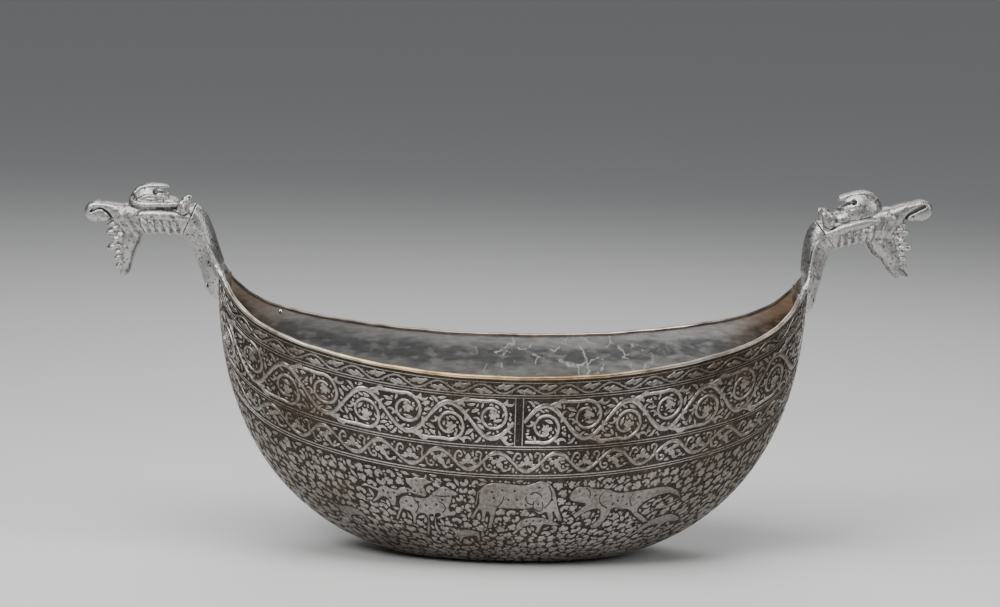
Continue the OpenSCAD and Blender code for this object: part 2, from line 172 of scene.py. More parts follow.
class Metal:
    """A metal whose colour and grain come from noise in the bowl's own space."""

    def __init__(self, name, metallic, roughness):
        self.material = bpy.data.materials.new(name)
        self.material.use_nodes = True
        self.nodes = self.material.node_tree.nodes
        self.shader = self.nodes["Principled BSDF"]
        self.feed(self.shader.inputs["Metallic"], metallic)
        self.feed(self.shader.inputs["Roughness"], roughness)

    def feed(self, socket, value):
        if isinstance(value, (int, float)):
            socket.default_value = value
        elif isinstance(value, tuple):
            socket.default_value = (*value, 1)
        else:
            self.material.node_tree.links.new(value, socket)

    def spot(self):
        return self.nodes.new("ShaderNodeTexCoord").outputs["Object"]

    def axis(self, name):
        axes = self.nodes.new("ShaderNodeSeparateXYZ")
        self.feed(axes.inputs["Vector"], self.spot())
        return axes.outputs[name]

    def along(self, start, end):
        """Runs from 0 to 1 along the bowl, between two places in metres."""
        node = self.nodes.new("ShaderNodeMapRange")
        self.feed(node.inputs["From Min"], start)
        self.feed(node.inputs["From Max"], end)
        self.feed(node.inputs["Value"], self.axis("X"))
        return node.outputs["Result"]

    def noise(self, scale, detail, stretch=(1, 1, 1)):
        mapping = self.nodes.new("ShaderNodeMapping")
        mapping.inputs["Scale"].default_value = stretch
        self.feed(mapping.inputs["Vector"], self.spot())
        noise = self.nodes.new("ShaderNodeTexNoise")
        self.feed(noise.inputs["Scale"], scale)
        self.feed(noise.inputs["Detail"], detail)
        self.feed(noise.inputs["Vector"], mapping.outputs["Vector"])
        return noise.outputs["Fac"]

    def ramp(self, value, stops):
        """Colours by value; a single number stands for a grey."""
        node = self.nodes.new("ShaderNodeValToRGB")
        for _ in stops[2:]:
            node.color_ramp.elements.new(0.5)
        for element, (place, colour) in zip(node.color_ramp.elements, stops):
            element.position = place
            element.color = (*colour, 1) if isinstance(colour, tuple) else (colour, colour, colour, 1)
        self.feed(node.inputs["Fac"], value)
        return node.outputs["Color"]

    def blend(self, share, first, second, mode="MIX"):
        node = self.nodes.new("ShaderNodeMix")
        node.data_type = "RGBA"
        node.blend_type = mode
        for place, value in ((0, share), (6, first), (7, second)):
            self.feed(node.inputs[place], value)
        return node.outputs[2]

    def times(self, product, *others):
        for other in others:
            product = self.blend(1.0, product, other, "MULTIPLY")
        return product

    def reckon(self, operation, first, second):
        node = self.nodes.new("ShaderNodeMath")
        node.operation = operation
        self.feed(node.inputs[0], first)
        self.feed(node.inputs[1], second)
        return node.outputs["Value"]

    def finish(self, colour, grain, grain_depth, strength=1.0):
        self.feed(self.shader.inputs["Base Color"], colour)
        bump = self.nodes.new("ShaderNodeBump")
        self.feed(bump.inputs["Strength"], strength)
        self.feed(bump.inputs["Distance"], grain_depth)
        self.feed(bump.inputs["Height"], grain)
        self.feed(self.shader.inputs["Normal"], bump.outputs["Normal"])


# The ground between the chased shapes is punched, blackened and worn brown in places.
ground_tin = Metal("blackened_ground", 0.75, 0.5)
specks = ground_tin.noise(900, 3)
ground_colour = ground_tin.ramp(ground_tin.noise(38, 5), [
    (0.30, (0.040, 0.033, 0.028)), (0.55, (0.070, 0.056, 0.045)), (0.75, (0.105, 0.077, 0.055))])
speck_colour = ground_tin.ramp(specks, [(0.40, 0.45), (0.62, 1.0), (0.72, (2.6, 2.5, 2.4))])
ground_tin.finish(ground_tin.times(ground_colour, speck_colour), specks, 0.0004)

# The inside keeps its tin: greyer below, streaked along the wall, with a few bright cracks right of the
# middle, and browned towards the prows. The pale band under the rim is painted light.
inside_tin = Metal("inside_tin_wear_and_painted_light", 0.8, 0.44)
reckon = inside_tin.reckon
zones_reach = 40 * MM
lengthwise = reckon("ABSOLUTE", reckon("DIVIDE", inside_tin.axis("X"), half_l * MM), 0)
sheer = reckon("MULTIPLY", reckon("POWER", lengthwise, sheer_power), rim_sheer * MM)
lift = reckon("MULTIPLY", reckon("POWER", lengthwise, lift_power), prow_lift * MM)
edge = reckon("ADD", reckon("ADD", sheer, lift), rim_middle * MM)
sunk = reckon("MULTIPLY", reckon("SUBTRACT", edge, inside_tin.axis("Z")), 1 / zones_reach)
streaks = inside_tin.noise(24, 7, (1, 1, 3.2))
wavering = reckon("ADD", sunk, reckon("MULTIPLY", streaks, 0.5))
# Pale under the rim as painted light on the inner wall, greyer and streaked further down.
painted_light_zones = inside_tin.ramp(reckon("SUBTRACT", wavering, 0.25), [
    (0.06, (0.70, 0.69, 0.67)), (0.20, (0.60, 0.595, 0.58)), (0.32, (0.27, 0.275, 0.275)),
    (0.50, (0.22, 0.225, 0.23)), (0.66, (0.42, 0.41, 0.39)), (0.95, (0.28, 0.27, 0.26))])
streak_colour = inside_tin.ramp(inside_tin.noise(110, 5, (1, 1, 4)), [
    (0.34, 0.80), (0.50, 1.0), (0.66, (1.18, 1.17, 1.16))])
flakes = inside_tin.ramp(inside_tin.noise(85, 8, (1, 1, 2.4)), [(0.50, 0), (0.66, 0.6)])
tin_flaked = inside_tin.blend(flakes, inside_tin.times(painted_light_zones, streak_colour), (0.66, 0.65, 0.635))

# Cracks run where cells meet whose places are bent by noise
bend = inside_tin.nodes.new("ShaderNodeTexNoise")
inside_tin.feed(bend.inputs["Scale"], 70)
inside_tin.feed(bend.inputs["Detail"], 4)
inside_tin.feed(bend.inputs["Vector"], inside_tin.spot())
bent = inside_tin.nodes.new("ShaderNodeVectorMath")
bent.operation = "MULTIPLY_ADD"
inside_tin.feed(bent.inputs[0], bend.outputs["Color"])
bent.inputs[1].default_value = (0.02, 0.02, 0.02)
inside_tin.feed(bent.inputs[2], inside_tin.spot())
crack = inside_tin.nodes.new("ShaderNodeTexVoronoi")
crack.feature = "DISTANCE_TO_EDGE"
inside_tin.feed(crack.inputs["Scale"], 62)
inside_tin.feed(crack.inputs["Vector"], bent.outputs["Vector"])
crack_line = inside_tin.ramp(crack.outputs["Distance"], [(0.016, 1), (0.055, 0)])
broken = inside_tin.ramp(inside_tin.noise(120, 4), [(0.50, 0), (0.56, 1)])
along = inside_tin.along(-0.205, 0.205)
cracked_part = inside_tin.ramp(along, [(0.40, 0), (0.48, 1), (0.70, 1), (0.80, 0)])
far_wall = inside_tin.ramp(reckon("MULTIPLY", inside_tin.axis("Y"), 10), [(0.45, 0), (0.6, 1)])
crack_share = inside_tin.times(crack_line, broken, cracked_part, far_wall)
tin_cracked = inside_tin.blend(crack_share, tin_flaked, (0.95, 0.94, 0.92))
along_colour = inside_tin.ramp(along, [
    (0.02, (0.60, 0.46, 0.36)), (0.14, 0.74), (0.46, 1), (0.86, 1), (0.96, (0.62, 0.42, 0.28))])
inside_tin.finish(inside_tin.times(tin_cracked, along_colour), streaks, 0.0009, 0.8)

bowl.data.materials.append(ground_tin.material)
bowl.data.materials.append(inside_tin.material)
apply_modifiers(bowl)
bpy.ops.object.shade_smooth_by_angle(angle=math.radians(50))
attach(bowl, "root")
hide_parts("bowl_hull")

# Chased bands
# The ornament is left standing where the ground is punched down around it. Each shape is drawn flat,
# in millimetres along the rim and below it, and then laid on the wall of both long sides.
half_turns = np.linspace(math.pi, 2 * math.pi, 1441)
half_plan = np.stack([half_l * np.cos(half_turns), half_w * np.sin(half_turns)], axis=-1)
rim_run = np.concatenate([[0], np.cumsum(np.linalg.norm(np.diff(half_plan, axis=0), axis=1))])
side_length = rim_run[-1]
border_lines = (13.6, 49.0, 69.4)
border_drift = (0.4, 4.6, 3.2)
border_tilt = (-0.7, 1.7, 0.2)
prow_margin = 11.0
relief_height = 0.5

# Surface distance below the third line, at the middle of the bowl, against depth
field_depths = np.linspace(border_lines[2], rim_middle, 300)
field_profile = wall_point(np.full(300, 1.5 * math.pi), field_depths)
field_fall = np.concatenate([[0], np.cumsum(np.linalg.norm(np.diff(field_profile, axis=0), axis=1))])


def lay_on_side(flat):
    turn = np.interp(flat[:, 0], rim_run, half_turns)
    depth = -flat[:, 1]
    across = 2 * flat[:, 0] / side_length - 1
    drift = np.interp(depth, (0, *border_lines), (0, *border_drift)) * across**2
    drift += np.interp(depth, (0, *border_lines), (0, *border_tilt)) * across * np.abs(across)
    field_top = border_lines[2] + border_drift[2] * across**2 + border_tilt[2] * across * np.abs(across)
    below = np.interp(depth - border_lines[2], field_fall, field_depths) - border_lines[2]
    stretch = (rim_height(turn) - field_top) / (rim_middle - border_lines[2])
    depth = np.where(depth > border_lines[2], field_top + below * stretch, depth + drift)
    return on_wall(turn, depth, flat[:, 2])


def picked_mesh(drawn):
    points = mesh_points(drawn)
    faces = [list(polygon.vertices) for polygon in drawn.data.polygons]
    bpy.data.objects.remove(drawn, do_unlink=True)
    return points, faces


def as_mesh(curve_data):
    drawn = bpy.data.objects.new("drawn", curve_data)
    bpy.context.collection.objects.link(drawn)
    pick_only(drawn)
    bpy.ops.object.convert(target="MESH")
    return bpy.context.object


def drawn_spline(curve_data, points, closed):
    spline = curve_data.splines.new("BEZIER")
    spline.bezier_points.add(len(points) - 1)
    spline.use_cyclic_u = closed
    for knot, point in zip(spline.bezier_points, points):
        knot.co = (point[0], point[1], 0)
        sharp = closed and len(point) > 2
        knot.handle_left_type = "VECTOR" if sharp else "AUTO"
        knot.handle_right_type = "VECTOR" if sharp else "AUTO"
    return spline


soft_edge = 0.22


def chased_shape(points, smoothness=3, cut_every=0.0):
    """A closed outline with a filled, softly edged top; a point with a third value is a sharp one."""
    curve_data = bpy.data.curves.new("shape", "CURVE")
    curve_data.dimensions = "2D"
    curve_data.fill_mode = "FRONT"
    curve_data.resolution_u = smoothness
    curve_data.bevel_depth = soft_edge
    curve_data.bevel_resolution = 0
    curve_data.extrude = relief_height - soft_edge
    curve_data.offset = -0.2
    drawn_spline(curve_data, points, True)
    drawn = as_mesh(curve_data)
    if cut_every > 0:
        bpy.ops.object.mode_set(mode="EDIT")
        for axis in (0, 1):
            places = [point[axis] for point in points]
            normal = [0, 0, 0]
            normal[axis] = 1
            for cut in np.arange(min(places) + cut_every, max(places), cut_every):
                bpy.ops.mesh.select_all(action="SELECT")
                bpy.ops.mesh.bisect(plane_co=[cut * n for n in normal], plane_no=normal)
        bpy.ops.object.mode_set(mode="OBJECT")
    return picked_mesh(drawn)


def chased_stem(points, widths, height=relief_height, smoothness=4):
    curve_data = bpy.data.curves.new("stem", "CURVE")
    curve_data.dimensions = "3D"
    curve_data.resolution_u = smoothness
    curve_data.bevel_depth = 1
    curve_data.bevel_resolution = 1
    curve_data.use_fill_caps = True
    curve_data.twist_mode = "Z_UP"
    spline = drawn_spline(curve_data, points, False)
    for knot, width in zip(spline.bezier_points, widths):
        knot.radius = width / 2
    flat, faces = picked_mesh(as_mesh(curve_data))
    flat[:, 2] = np.clip(flat[:, 2], -0.3, height)
    return flat, faces


def wave_stem(start, period, count, steps, middle, height, width, swell=0.0, smoothness=4):
    """A stem that swings about a middle line and is thicker where it turns."""
    points = []
    widths = []
    for i in range(count * steps + 1):
        swing = math.sin(2 * math.pi * i / steps)
        points.append((start + i * period / steps, middle + height * swing))
        widths.append(width + swell * abs(swing))
    return chased_stem(points, widths, smoothness=smoothness)


def hollows(start, period, count):
    """The middle of each hollow of a wave, with 1 below a crest and -1 above a trough."""
    for half in range(2 * count):
        yield start + (half / 2 + 0.25) * period, -1 if half % 2 else 1


def punched_leaf(corners):
    """A small leaf of few faces, for the shapes that are repeated by the hundred."""
    turning = sum(a[0] * b[1] - b[0] * a[1] for a, b in zip(corners, corners[1:] + corners[:1]))
    if turning < 0:
        corners = corners[::-1]
    bpy.ops.mesh.primitive_circle_add(vertices=len(corners), fill_type="NGON")
    leaf = bpy.context.object
    set_mesh_points(leaf, [(x, y, -0.15) for x, y in corners])
    bpy.ops.object.mode_set(mode="EDIT")
    bpy.ops.mesh.select_all(action="SELECT")
    bpy.ops.mesh.extrude_region_move(TRANSFORM_OT_translate={"value": (0, 0, relief_height)})
    bpy.ops.mesh.inset(thickness=0.2, depth=0.14)
    bpy.ops.object.mode_set(mode="OBJECT")
    return picked_mesh(leaf)


def top_spots(flat, faces, every=0.3):
    """Points spread over the raised tops of a flat shape."""
    spots = [flat[:0, :2]]
    for face in faces:
        if flat[face, 2].mean() > 0.2:
            corners = flat[face, :2]
            for b, c in zip(corners[1:], corners[2:]):
                edges = (b - corners[0], c - corners[0], b - c)
                longest = max(np.abs(edge).max() for edge in edges)
                steps = int(longest / every) + 2
                u, v = np.meshgrid(np.linspace(0, 1, steps), np.linspace(0, 1, steps))
                u, v = u[u + v <= 1.001], v[u + v <= 1.001]
                spots.append(corners[0] + u[:, None] * (b - corners[0]) + v[:, None] * (c - corners[0]))
    return np.concatenate(spots)


def turn_matrix(turn):
    c, s = math.cos(turn), math.sin(turn)
    return np.array([[c, s], [-s, c]])


class Band:
    """Gathers the flat shapes of one band before they are laid on the wall."""

    def __init__(self):
        self.points = []
        self.faces = []
        self.count = 0

    def place(self, shape, at=(0, 0), turn=0.0, size=1.0, flip=False, raise_by=0.0, squeeze=1.0):
        flat, faces = shape
        moved = flat.copy()
        moved[:, :2] *= size
        if flip:
            moved[:, 1] *= -1
        moved[:, :2] = moved[:, :2] @ turn_matrix(turn)
        moved[:, 0] /= squeeze
        moved[:, :2] += np.array(at)
        moved[:, 2] += raise_by
        self.points.append(moved)
        for face in faces:
            kept = [i + self.count for i in face]
            self.faces.append(kept[::-1] if flip else kept)
        self.count += len(moved)

    def open_ground(self, low, high, taken=()):
        """Marks on a fine grid where the ground between two corners is still bare."""
        self.low = np.array(low)
        self.high = np.array(high)
        self.cell = 0.25
        self.bare = np.zeros(((self.high - self.low) / self.cell).astype(int), dtype=bool)
        self.bare[2:-2, 2:-2] = True
        for band in (self, *taken):
            if band.points:
                self.cover(top_spots(np.concatenate(band.points), band.faces))

    def cells(self, spots):
        places = ((spots - self.low) / self.cell).astype(int)
        return tuple(np.clip(places, 0, np.array(self.bare.shape) - 1).T)

    def cover(self, spots):
        spots = spots[((spots > self.low) & (spots < self.high)).all(axis=1)]
        for step in ((0, 0), (1, 0), (-1, 0), (0, 1), (0, -1)):
            self.bare[self.cells(spots + np.array(step) * self.cell)] = False

    def sow(self, shapes, pitch, sizes, seed, squeeze_at=None, turns=8):
        """Places small shapes wherever they still fit on the bare ground."""
        chance = np.random.default_rng(seed)
        stray = 0.35
        outlines = [top_spots(*shape) for shape in shapes]
        for y in np.arange(self.low[1] + pitch / 2, self.high[1], pitch):
            squeeze = squeeze_at(y) if squeeze_at else 1.0
            for x in np.arange(self.low[0] + pitch / 2, self.high[0], pitch / squeeze):
                at = np.array((x, y)) + chance.uniform(-stray, stray, 2) * pitch
                first_turn = chance.uniform(0, 2 * math.pi)
                size = chance.uniform(*sizes)
                pick = int(chance.integers(0, len(shapes)))
                if not self.bare[self.cells(at[None, :])][0]:
                    continue
                for i in range(turns):
                    turn = first_turn + 2 * math.pi * i / turns
                    spots = (outlines[pick] * size) @ turn_matrix(turn)
                    spots = spots / np.array((squeeze, 1)) + at
                    if self.bare[self.cells(spots)].all():
                        self.place(shapes[pick], at, turn, size, raise_by=0.01, squeeze=squeeze)
                        self.cover(spots)
                        break

    def finish(self, name, metal):
        """Lays the shapes on both long sides of the bowl, as one piece."""
        front = lay_on_side(np.concatenate(self.points)) * MM
        back = front * np.array([-1, -1, 1])
        back_faces = [[i + len(front) for i in face] for face in self.faces]
        mesh = bpy.data.meshes.new(name)
        mesh.from_pydata(np.concatenate([front, back]).tolist(), [], self.faces + back_faces)
        mesh.materials.append(metal.material)
        piece = bpy.data.objects.new(name, mesh)
        bpy.context.collection.objects.link(piece)
        pick_only(piece)
        bpy.ops.object.shade_smooth_by_angle(angle=math.radians(35))
        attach(piece, "root")


# Tin on the standing shapes: pale where it is rubbed and brown where the copper comes through. Left of the
# middle it is painted brighter as a pool of light, and towards the prows it is painted duller as shade. The
# field tin is painted darker, as the shade of the belly.
def tin_with_painted_light(name, colours, painted_light_middle):
    metal = Metal(name, 0.9, 0.34)
    scratch = metal.noise(420, 4)
    relief_colour = metal.ramp(metal.noise(17, 4), list(zip((0.30, 0.46, 0.60, 0.74), colours)))
    scratch_colour = metal.ramp(scratch, [(0.36, (0.60, 0.58, 0.56)), (0.56, 1.0)])
    # The dull ends are painted shade, and the brighter middle left of centre is a painted pool of light.
    dull = (0.80, 0.77, 0.74)
    along_colour = metal.ramp(metal.along(-0.2, 0.2), [
        (0.05, dull), (0.30, painted_light_middle), (0.50, painted_light_middle), (0.85, dull)])
    metal.finish(metal.times(relief_colour, scratch_colour, along_colour), scratch, 0.00025)
    return metal


relief_tin = tin_with_painted_light("relief_tin_wear_and_painted_light", [
    (0.20, 0.165, 0.135), (0.34, 0.315, 0.29), (0.47, 0.455, 0.435), (0.58, 0.57, 0.555)],
    (1.15, 1.13, 1.11))
# Darker than the relief tin: painted shade of the belly. The two vine borders use this tin too.
field_tin = tin_with_painted_light("field_tin_painted_shade", [
    (0.17, 0.135, 0.11), (0.27, 0.245, 0.22), (0.35, 0.335, 0.315), (0.43, 0.415, 0.395)],
    (1.08, 1.06, 1.04))

# Border lines
# Pairs of fine lines part the bands and close them at the prows. They are cut with a round-nosed tool and
# left bright.
lines = Band()
hair_line = 4.3
end_line_reach = 80.0
panel_split = 247.5
panel_gap = 2.6


def bright_line(start, end, width, steps, height=0.42):
    knots = np.linspace(start, end, steps)
    run = np.array(end, dtype=float) - np.array(start, dtype=float)
    side = np.array([-run[1], run[0]]) / np.hypot(*run)
    flat = []
    for knot in knots:
        for share, lift in ((0.5, -0.1), (0.25, height), (-0.25, height), (-0.5, -0.1)):
            flat.append((*(knot + side * share * width), lift))
    faces = []
    for i in range(steps - 1):
        for j in range(3):
            a = i * 4 + j
            faces.append([a, a + 1, a + 5, a + 4])
    return np.array(flat), faces


line_ends = (prow_margin - 3.0, side_length - prow_margin + 3.0)
level_lines = [(hair_line, 0.75)]
for depth in border_lines:
    level_lines += [(depth - 0.8, 1.0), (depth + 0.9, 0.75)]
for depth, width in level_lines:
    lines.place(bright_line((line_ends[0], -depth), (line_ends[1], -depth), width, 400))
for along in line_ends:
    lines.place(bright_line((along, -hair_line), (along, -border_lines[2] - end_line_reach), 0.8, 120))
for along in (panel_split - panel_gap, panel_split + panel_gap):
    lines.place(bright_line((along, -border_lines[0] - 1), (along, -border_lines[1] + 1), 0.9, 30))
lines.finish("border_lines", relief_tin)

# Upper border
# A thin wave stem under the rim, with a split leaf and a curled tendril in each hollow of the wave.
upper_border = Band()
upper_middle = -8.8
upper_wave = 2.9
upper_count = 16
upper_period = (side_length - 2 * prow_margin) / upper_count
split_leaf = chased_shape([
    (0, 0, 1), (2.0, 1.5), (3.8, 1.2), (5.4, 2.6), (7.8, 1.9), (11.0, 0.4, 1), (8.2, -0.6), (6.4, -0.6),
    (5.0, -2.2, 1), (3.2, -1.2), (1.6, -1.0)])
small_bud = chased_shape([(0, 0, 1), (1.2, 1.0), (3.4, 0.2, 1), (1.4, -0.9)], 2)
tendril = chased_stem(
    [(-1.0, -0.6), (0.6, 1.5), (2.8, 2.1), (4.4, 1.0), (4.0, -0.5), (2.8, -0.2)],
    [1.3, 1.2, 1.1, 1.0, 0.9, 1.2])
upper_border.place(wave_stem(
    prow_margin, upper_period, upper_count, 8, upper_middle, upper_wave, 1.45, smoothness=3))
for middle, side in hollows(prow_margin, upper_period, upper_count):
    flipped = side < 0
    spot = (middle - 4.6, upper_middle - side * 1.0)
    upper_border.place(split_leaf, spot, -0.16 * side, 1.06, flipped, 0.04)
    upper_border.place(tendril, (middle - 8.2, upper_middle - side * 1.8), 0.25 * side, 0.9, flipped, 0.02)
    upper_border.place(small_bud, (middle + 4.6, upper_middle - side * 2.9), 0.2 * side, 0.9, raise_by=0.03)
upper_border.finish("upper_vine_border", field_tin)

# Lower border
# A bold wave stem, thick on its crests, with a trefoil flower between curled leaves in each hollow.
lower_border = Band()
lower_middle = -59.2
lower_wave = 6.4
lower_period = 41.4
lower_count = 11
lower_start = (side_length - lower_count * lower_period) / 2
trefoil = chased_shape([
    (0, -0.6, 1), (0.8, 0.9), (3.0, 0.0), (4.6, 1.6), (3.5, 3.5), (1.7, 3.2), (2.2, 5.0), (0, 7.8, 1),
    (-2.2, 5.0), (-1.7, 3.2), (-3.5, 3.5), (-4.6, 1.6), (-3.0, 0.0), (-0.8, 0.9)])
hook_leaf = chased_shape([
    (0, 0, 1), (1.8, 1.6), (4.0, 1.8), (5.8, 0.2, 1), (5.0, 3.0), (3.0, 4.2), (0.8, 3.2), (-0.3, 1.4)])
left_curl = chased_stem(
    [(-9.6, 0.6), (-8.9, 3.6), (-7.2, 5.8), (-5.0, 5.6), (-4.4, 3.6), (-5.6, 2.6), (-6.6, 3.4)],
    [2.2, 1.8, 1.7, 1.5, 1.4, 1.4, 1.9])
right_curl = chased_stem(
    [(9.2, -1.0), (8.6, 2.2), (9.4, 5.2), (7.4, 6.4), (5.6, 5.4), (6.2, 3.8)],
    [2.2, 1.7, 1.5, 1.5, 1.4, 1.9])
lower_border.place(wave_stem(
    lower_start, lower_period, lower_count, 8, lower_middle, lower_wave, 2.0, 1.0))
for middle, crest in hollows(lower_start, lower_period, lower_count):
    hanging = crest > 0
    side = -crest
    foot = lower_middle - side * 2.6
    lean = 0.42 if hanging else 0.0
    flower_turn = math.pi + lean if hanging else 0
    lower_border.place(trefoil, (middle - lean * 2, foot), flower_turn, raise_by=0.03)
    lower_border.place(left_curl, (middle, lower_middle), flip=hanging, raise_by=0.02)
    if hanging:
        lower_border.place(hook_leaf, (middle + 3.6, lower_middle - 1.4), -0.7, flip=True, raise_by=0.04)
        lower_border.place(small_bud, (middle + 7.0, lower_middle - 5.8), 0.5, 1.1, raise_by=0.05)
    else:
        lower_border.place(right_curl, (middle, lower_middle), raise_by=0.02)
    for step, turn in ((-3.0, 2.7), (3.0, 0.45)):
        lower_border.place(small_bud, (middle + step, foot - side * 0.4), turn * side, 1.1, raise_by=0.05)
sprouts = [punched_leaf(corners) for corners in (
    [(-3.4, 0.0), (-1.4, 1.3), (1.0, 1.5), (3.6, -0.2), (1.2, -0.9), (-1.2, -0.9)],
    [(-2.6, -1.2), (-2.0, 0.6), (-0.4, 0.7), (0.2, 2.2), (1.5, 0.8), (3.0, 0.4), (1.6, -0.9),
     (-0.4, -1.3)])]
ground_leaves = [punched_leaf(corners) for corners in (
    [(-1.9, 0.0), (-0.6, 0.9), (0.8, 0.8), (2.1, -0.2), (0.6, -0.8), (-0.8, -0.7)],
    [(-1.5, -0.4), (-1.2, 0.9), (0.0, 0.5), (1.2, 1.0), (1.5, -0.3), (0.0, -1.1)],
    [(-0.9, 0.0), (-0.45, 0.8), (0.45, 0.8), (0.9, 0.0), (0.45, -0.8), (-0.45, -0.8)])]
band_ends = (prow_margin - 1, side_length - prow_margin + 1)
lower_border.open_ground((band_ends[0], -border_lines[2] + 1.6), (band_ends[1], -border_lines[1] - 1.6))
lower_border.sow(sprouts, 2.4, (0.75, 1.0), 7)
lower_border.sow(ground_leaves, 1.9, (0.85, 1.15), 8)
lower_border.finish("lower_vine_border", field_tin)

# Main band
# Scrolls of split palmettes run through the two panels of the widest band, and small leaves fill its
# ground.
main_band = Band()
main_middle = -31.3
main_wave = 11.6
main_count = 4
palmette = chased_shape([
    (0, 0, 1), (1.6, 0.8), (4.2, 0.2), (6.2, 2.2), (5.4, 4.6), (3.4, 4.6), (4.6, 6.6), (3.4, 8.8),
    (1.8, 8.6), (0, 12.4, 1), (-1.8, 8.6), (-3.4, 8.8), (-4.6, 6.6), (-3.4, 4.6), (-5.4, 4.6), (-6.2, 2.2),
    (-4.2, 0.2), (-1.6, 0.8)])
half_palmette = chased_shape([
    (-0.6, -0.9, 1), (-0.6, 0.9, 1), (2.6, 1.9), (6.0, 3.7), (9.6, 3.6), (12.4, 1.6), (13.4, -1.4, 1),
    (11.4, 0.2), (9.2, 0.9), (6.8, 0.5), (5.6, -0.9), (6.2, -2.7), (5.0, -4.8, 1), (3.4, -3.2),
    (1.8, -1.7)])
bold_leaf = chased_shape([
    (0, 0, 1), (2.2, 1.5), (5.4, 2.3), (8.4, 1.5), (11.0, -1.3, 1), (7.8, -0.5), (5.0, -0.7), (2.4, -1.0)])
beside_leaves = (
    (-52, 11.4, -0.1, 0.62, half_palmette), (20, 11.6, 1.2, 0.62, half_palmette),
    (92, 10.4, 2.5, 0.5, bold_leaf), (150, 7.8, 3.5, 0.5, half_palmette),
    (215, 9.0, 4.9, 0.5, bold_leaf), (-20, 9.6, 2.1, 0.42, bold_leaf))
panel_margin = 3.6
panels = ((band_ends[0], panel_split - panel_margin), (panel_split + panel_margin, band_ends[1]))
for panel_from, panel_to in panels:
    period = (panel_to - panel_from) / main_count
    main_band.place(wave_stem(panel_from, period, main_count, 12, main_middle, main_wave, 2.2, 1.0))
    scroll_points = [
        (-period / 2 + 2, -main_wave + 0.2), (-period * 0.38, -main_wave - 1.4),
        (-period * 0.26, -main_wave - 2.4)]
    scroll_widths = [1.4, 2.0, 2.2]
    for i in range(16):
        angle = math.radians(-112 + 420 * i / 15)
        reach = 11.0 - 6.0 * i / 15
        scroll_points.append((reach * math.cos(angle), -3.6 + reach * math.sin(angle)))
        scroll_widths.append(2.4 - 0.7 * i / 15)
    scroll_stem = chased_stem(scroll_points, scroll_widths)
    first_scroll = chased_stem([(-period / 4 + 1, -main_wave - 2.2), *scroll_points[3:]], scroll_widths[2:])
    for order, (middle, side) in enumerate(hollows(panel_from, period, main_count)):
        down = side < 0
        eye = (middle, main_middle - side * 3.6)
        scroll = scroll_stem if order else first_scroll
        main_band.place(scroll, (middle, main_middle), flip=down, raise_by=0.02)
        flower_turn = side * 0.62 + (math.pi if down else 0)
        main_band.place(palmette, (eye[0] + 2.6, eye[1] - side * 3.4), flower_turn, 0.62, raise_by=0.04)
        for angle, out, lean, size, leaf in beside_leaves:
            step = (out * math.cos(math.radians(angle)), side * out * math.sin(math.radians(angle)))
            main_band.place(leaf, (eye[0] + step[0], eye[1] + step[1]), side * lean, size, down, 0.05)
        spot = (middle + 6.0, main_middle + side * 11.0)
        main_band.place(half_palmette, spot, side * 0.42, 0.72, down, 0.05)
        spot = (middle - 7.0, main_middle + side * 10.4)
        main_band.place(bold_leaf, spot, math.pi - side * 0.75, 0.66, not down, 0.05)
for (panel_from, panel_to), seed in zip(panels, (5, 6)):
    main_band.open_ground((panel_from, -border_lines[1] + 1.7), (panel_to, -border_lines[0] - 1.7))
    main_band.sow(sprouts, 2.2, (0.8, 1.1), seed)
    main_band.sow(ground_leaves, 1.7, (0.8, 1.1), seed + 10)
main_band.finish("main_band_arabesque", relief_tin)

# Animals
# Under the borders a big cat springs on an ox, a humped bull lowers its head, a lion runs, and a hound and
# a gazelle run below. Spots, eyes and the lines of the limbs are cut into the shapes and filled dark.
animals = Band()
animal_lines = Band()
field_top = -border_lines[2]
bull_outline = [
    (221.5, -9.1), (226.7, -6.3), (234.4, -5.1), (244.6, -6.0), (254.9, -6.6), (261.0, -4.8), (266.1, -3.5),
    (271.4, -5.5), (275.9, -10.3), (279.0, -17.2), (281.1, -23.4), (284.2, -29.2), (288.0, -35.3, 1),
    (285.0, -35.6, 1), (280.4, -29.8), (278.3, -27.2), (279.4, -31.3), (280.2, -35.8, 1), (277.0, -35.8, 1),
    (274.4, -30.0), (272.2, -27.6), (268.6, -29.3), (263.7, -27.0), (261.3, -23.8), (257.8, -24.7),
    (248.2, -24.8), (237.1, -24.8), (232.7, -24.9), (231.2, -30.2), (229.2, -36.3), (227.6, -42.4, 1),
    (224.2, -42.5, 1), (226.3, -35.2), (226.6, -29.6), (225.1, -27.8), (223.2, -30.8), (222.1, -36.6, 1),
    (219.0, -36.8, 1), (220.3, -30.7), (219.3, -26.6), (214.9, -31.2), (212.6, -35.0, 1), (210.4, -33.9, 1),
    (215.0, -28.0), (218.6, -22.4), (219.4, -13.9)]
lion_outline = [
    (288.6, -16.4, 1), (290.0, -12.7), (292.2, -10.0), (294.6, -8.8, 1), (299.0, -8.8), (307.5, -11.4),
    (317.0, -12.2), (324.8, -15.6), (334.4, -16.1), (348.0, -16.2), (359.0, -16.2), (369.9, -18.3),
    (378.3, -22.4), (383.9, -27.5, 1), (376.4, -24.0), (367.8, -21.8), (357.4, -23.4), (351.3, -26.8),
    (350.0, -31.2), (359.3, -37.8), (368.9, -43.0, 1), (365.3, -43.6, 1), (352.1, -36.9), (341.6, -30.1),
    (333.6, -28.7), (326.4, -28.0), (326.6, -31.8), (325.3, -37.8), (323.2, -42.8), (318.6, -44.3, 1),
    (315.6, -41.6, 1), (318.8, -38.4), (319.6, -32.4), (315.0, -26.9), (308.8, -27.5), (302.0, -31.1),
    (298.7, -33.8, 1), (295.9, -31.0, 1), (300.9, -25.9), (303.4, -22.8), (297.0, -20.6), (291.4, -19.0)]
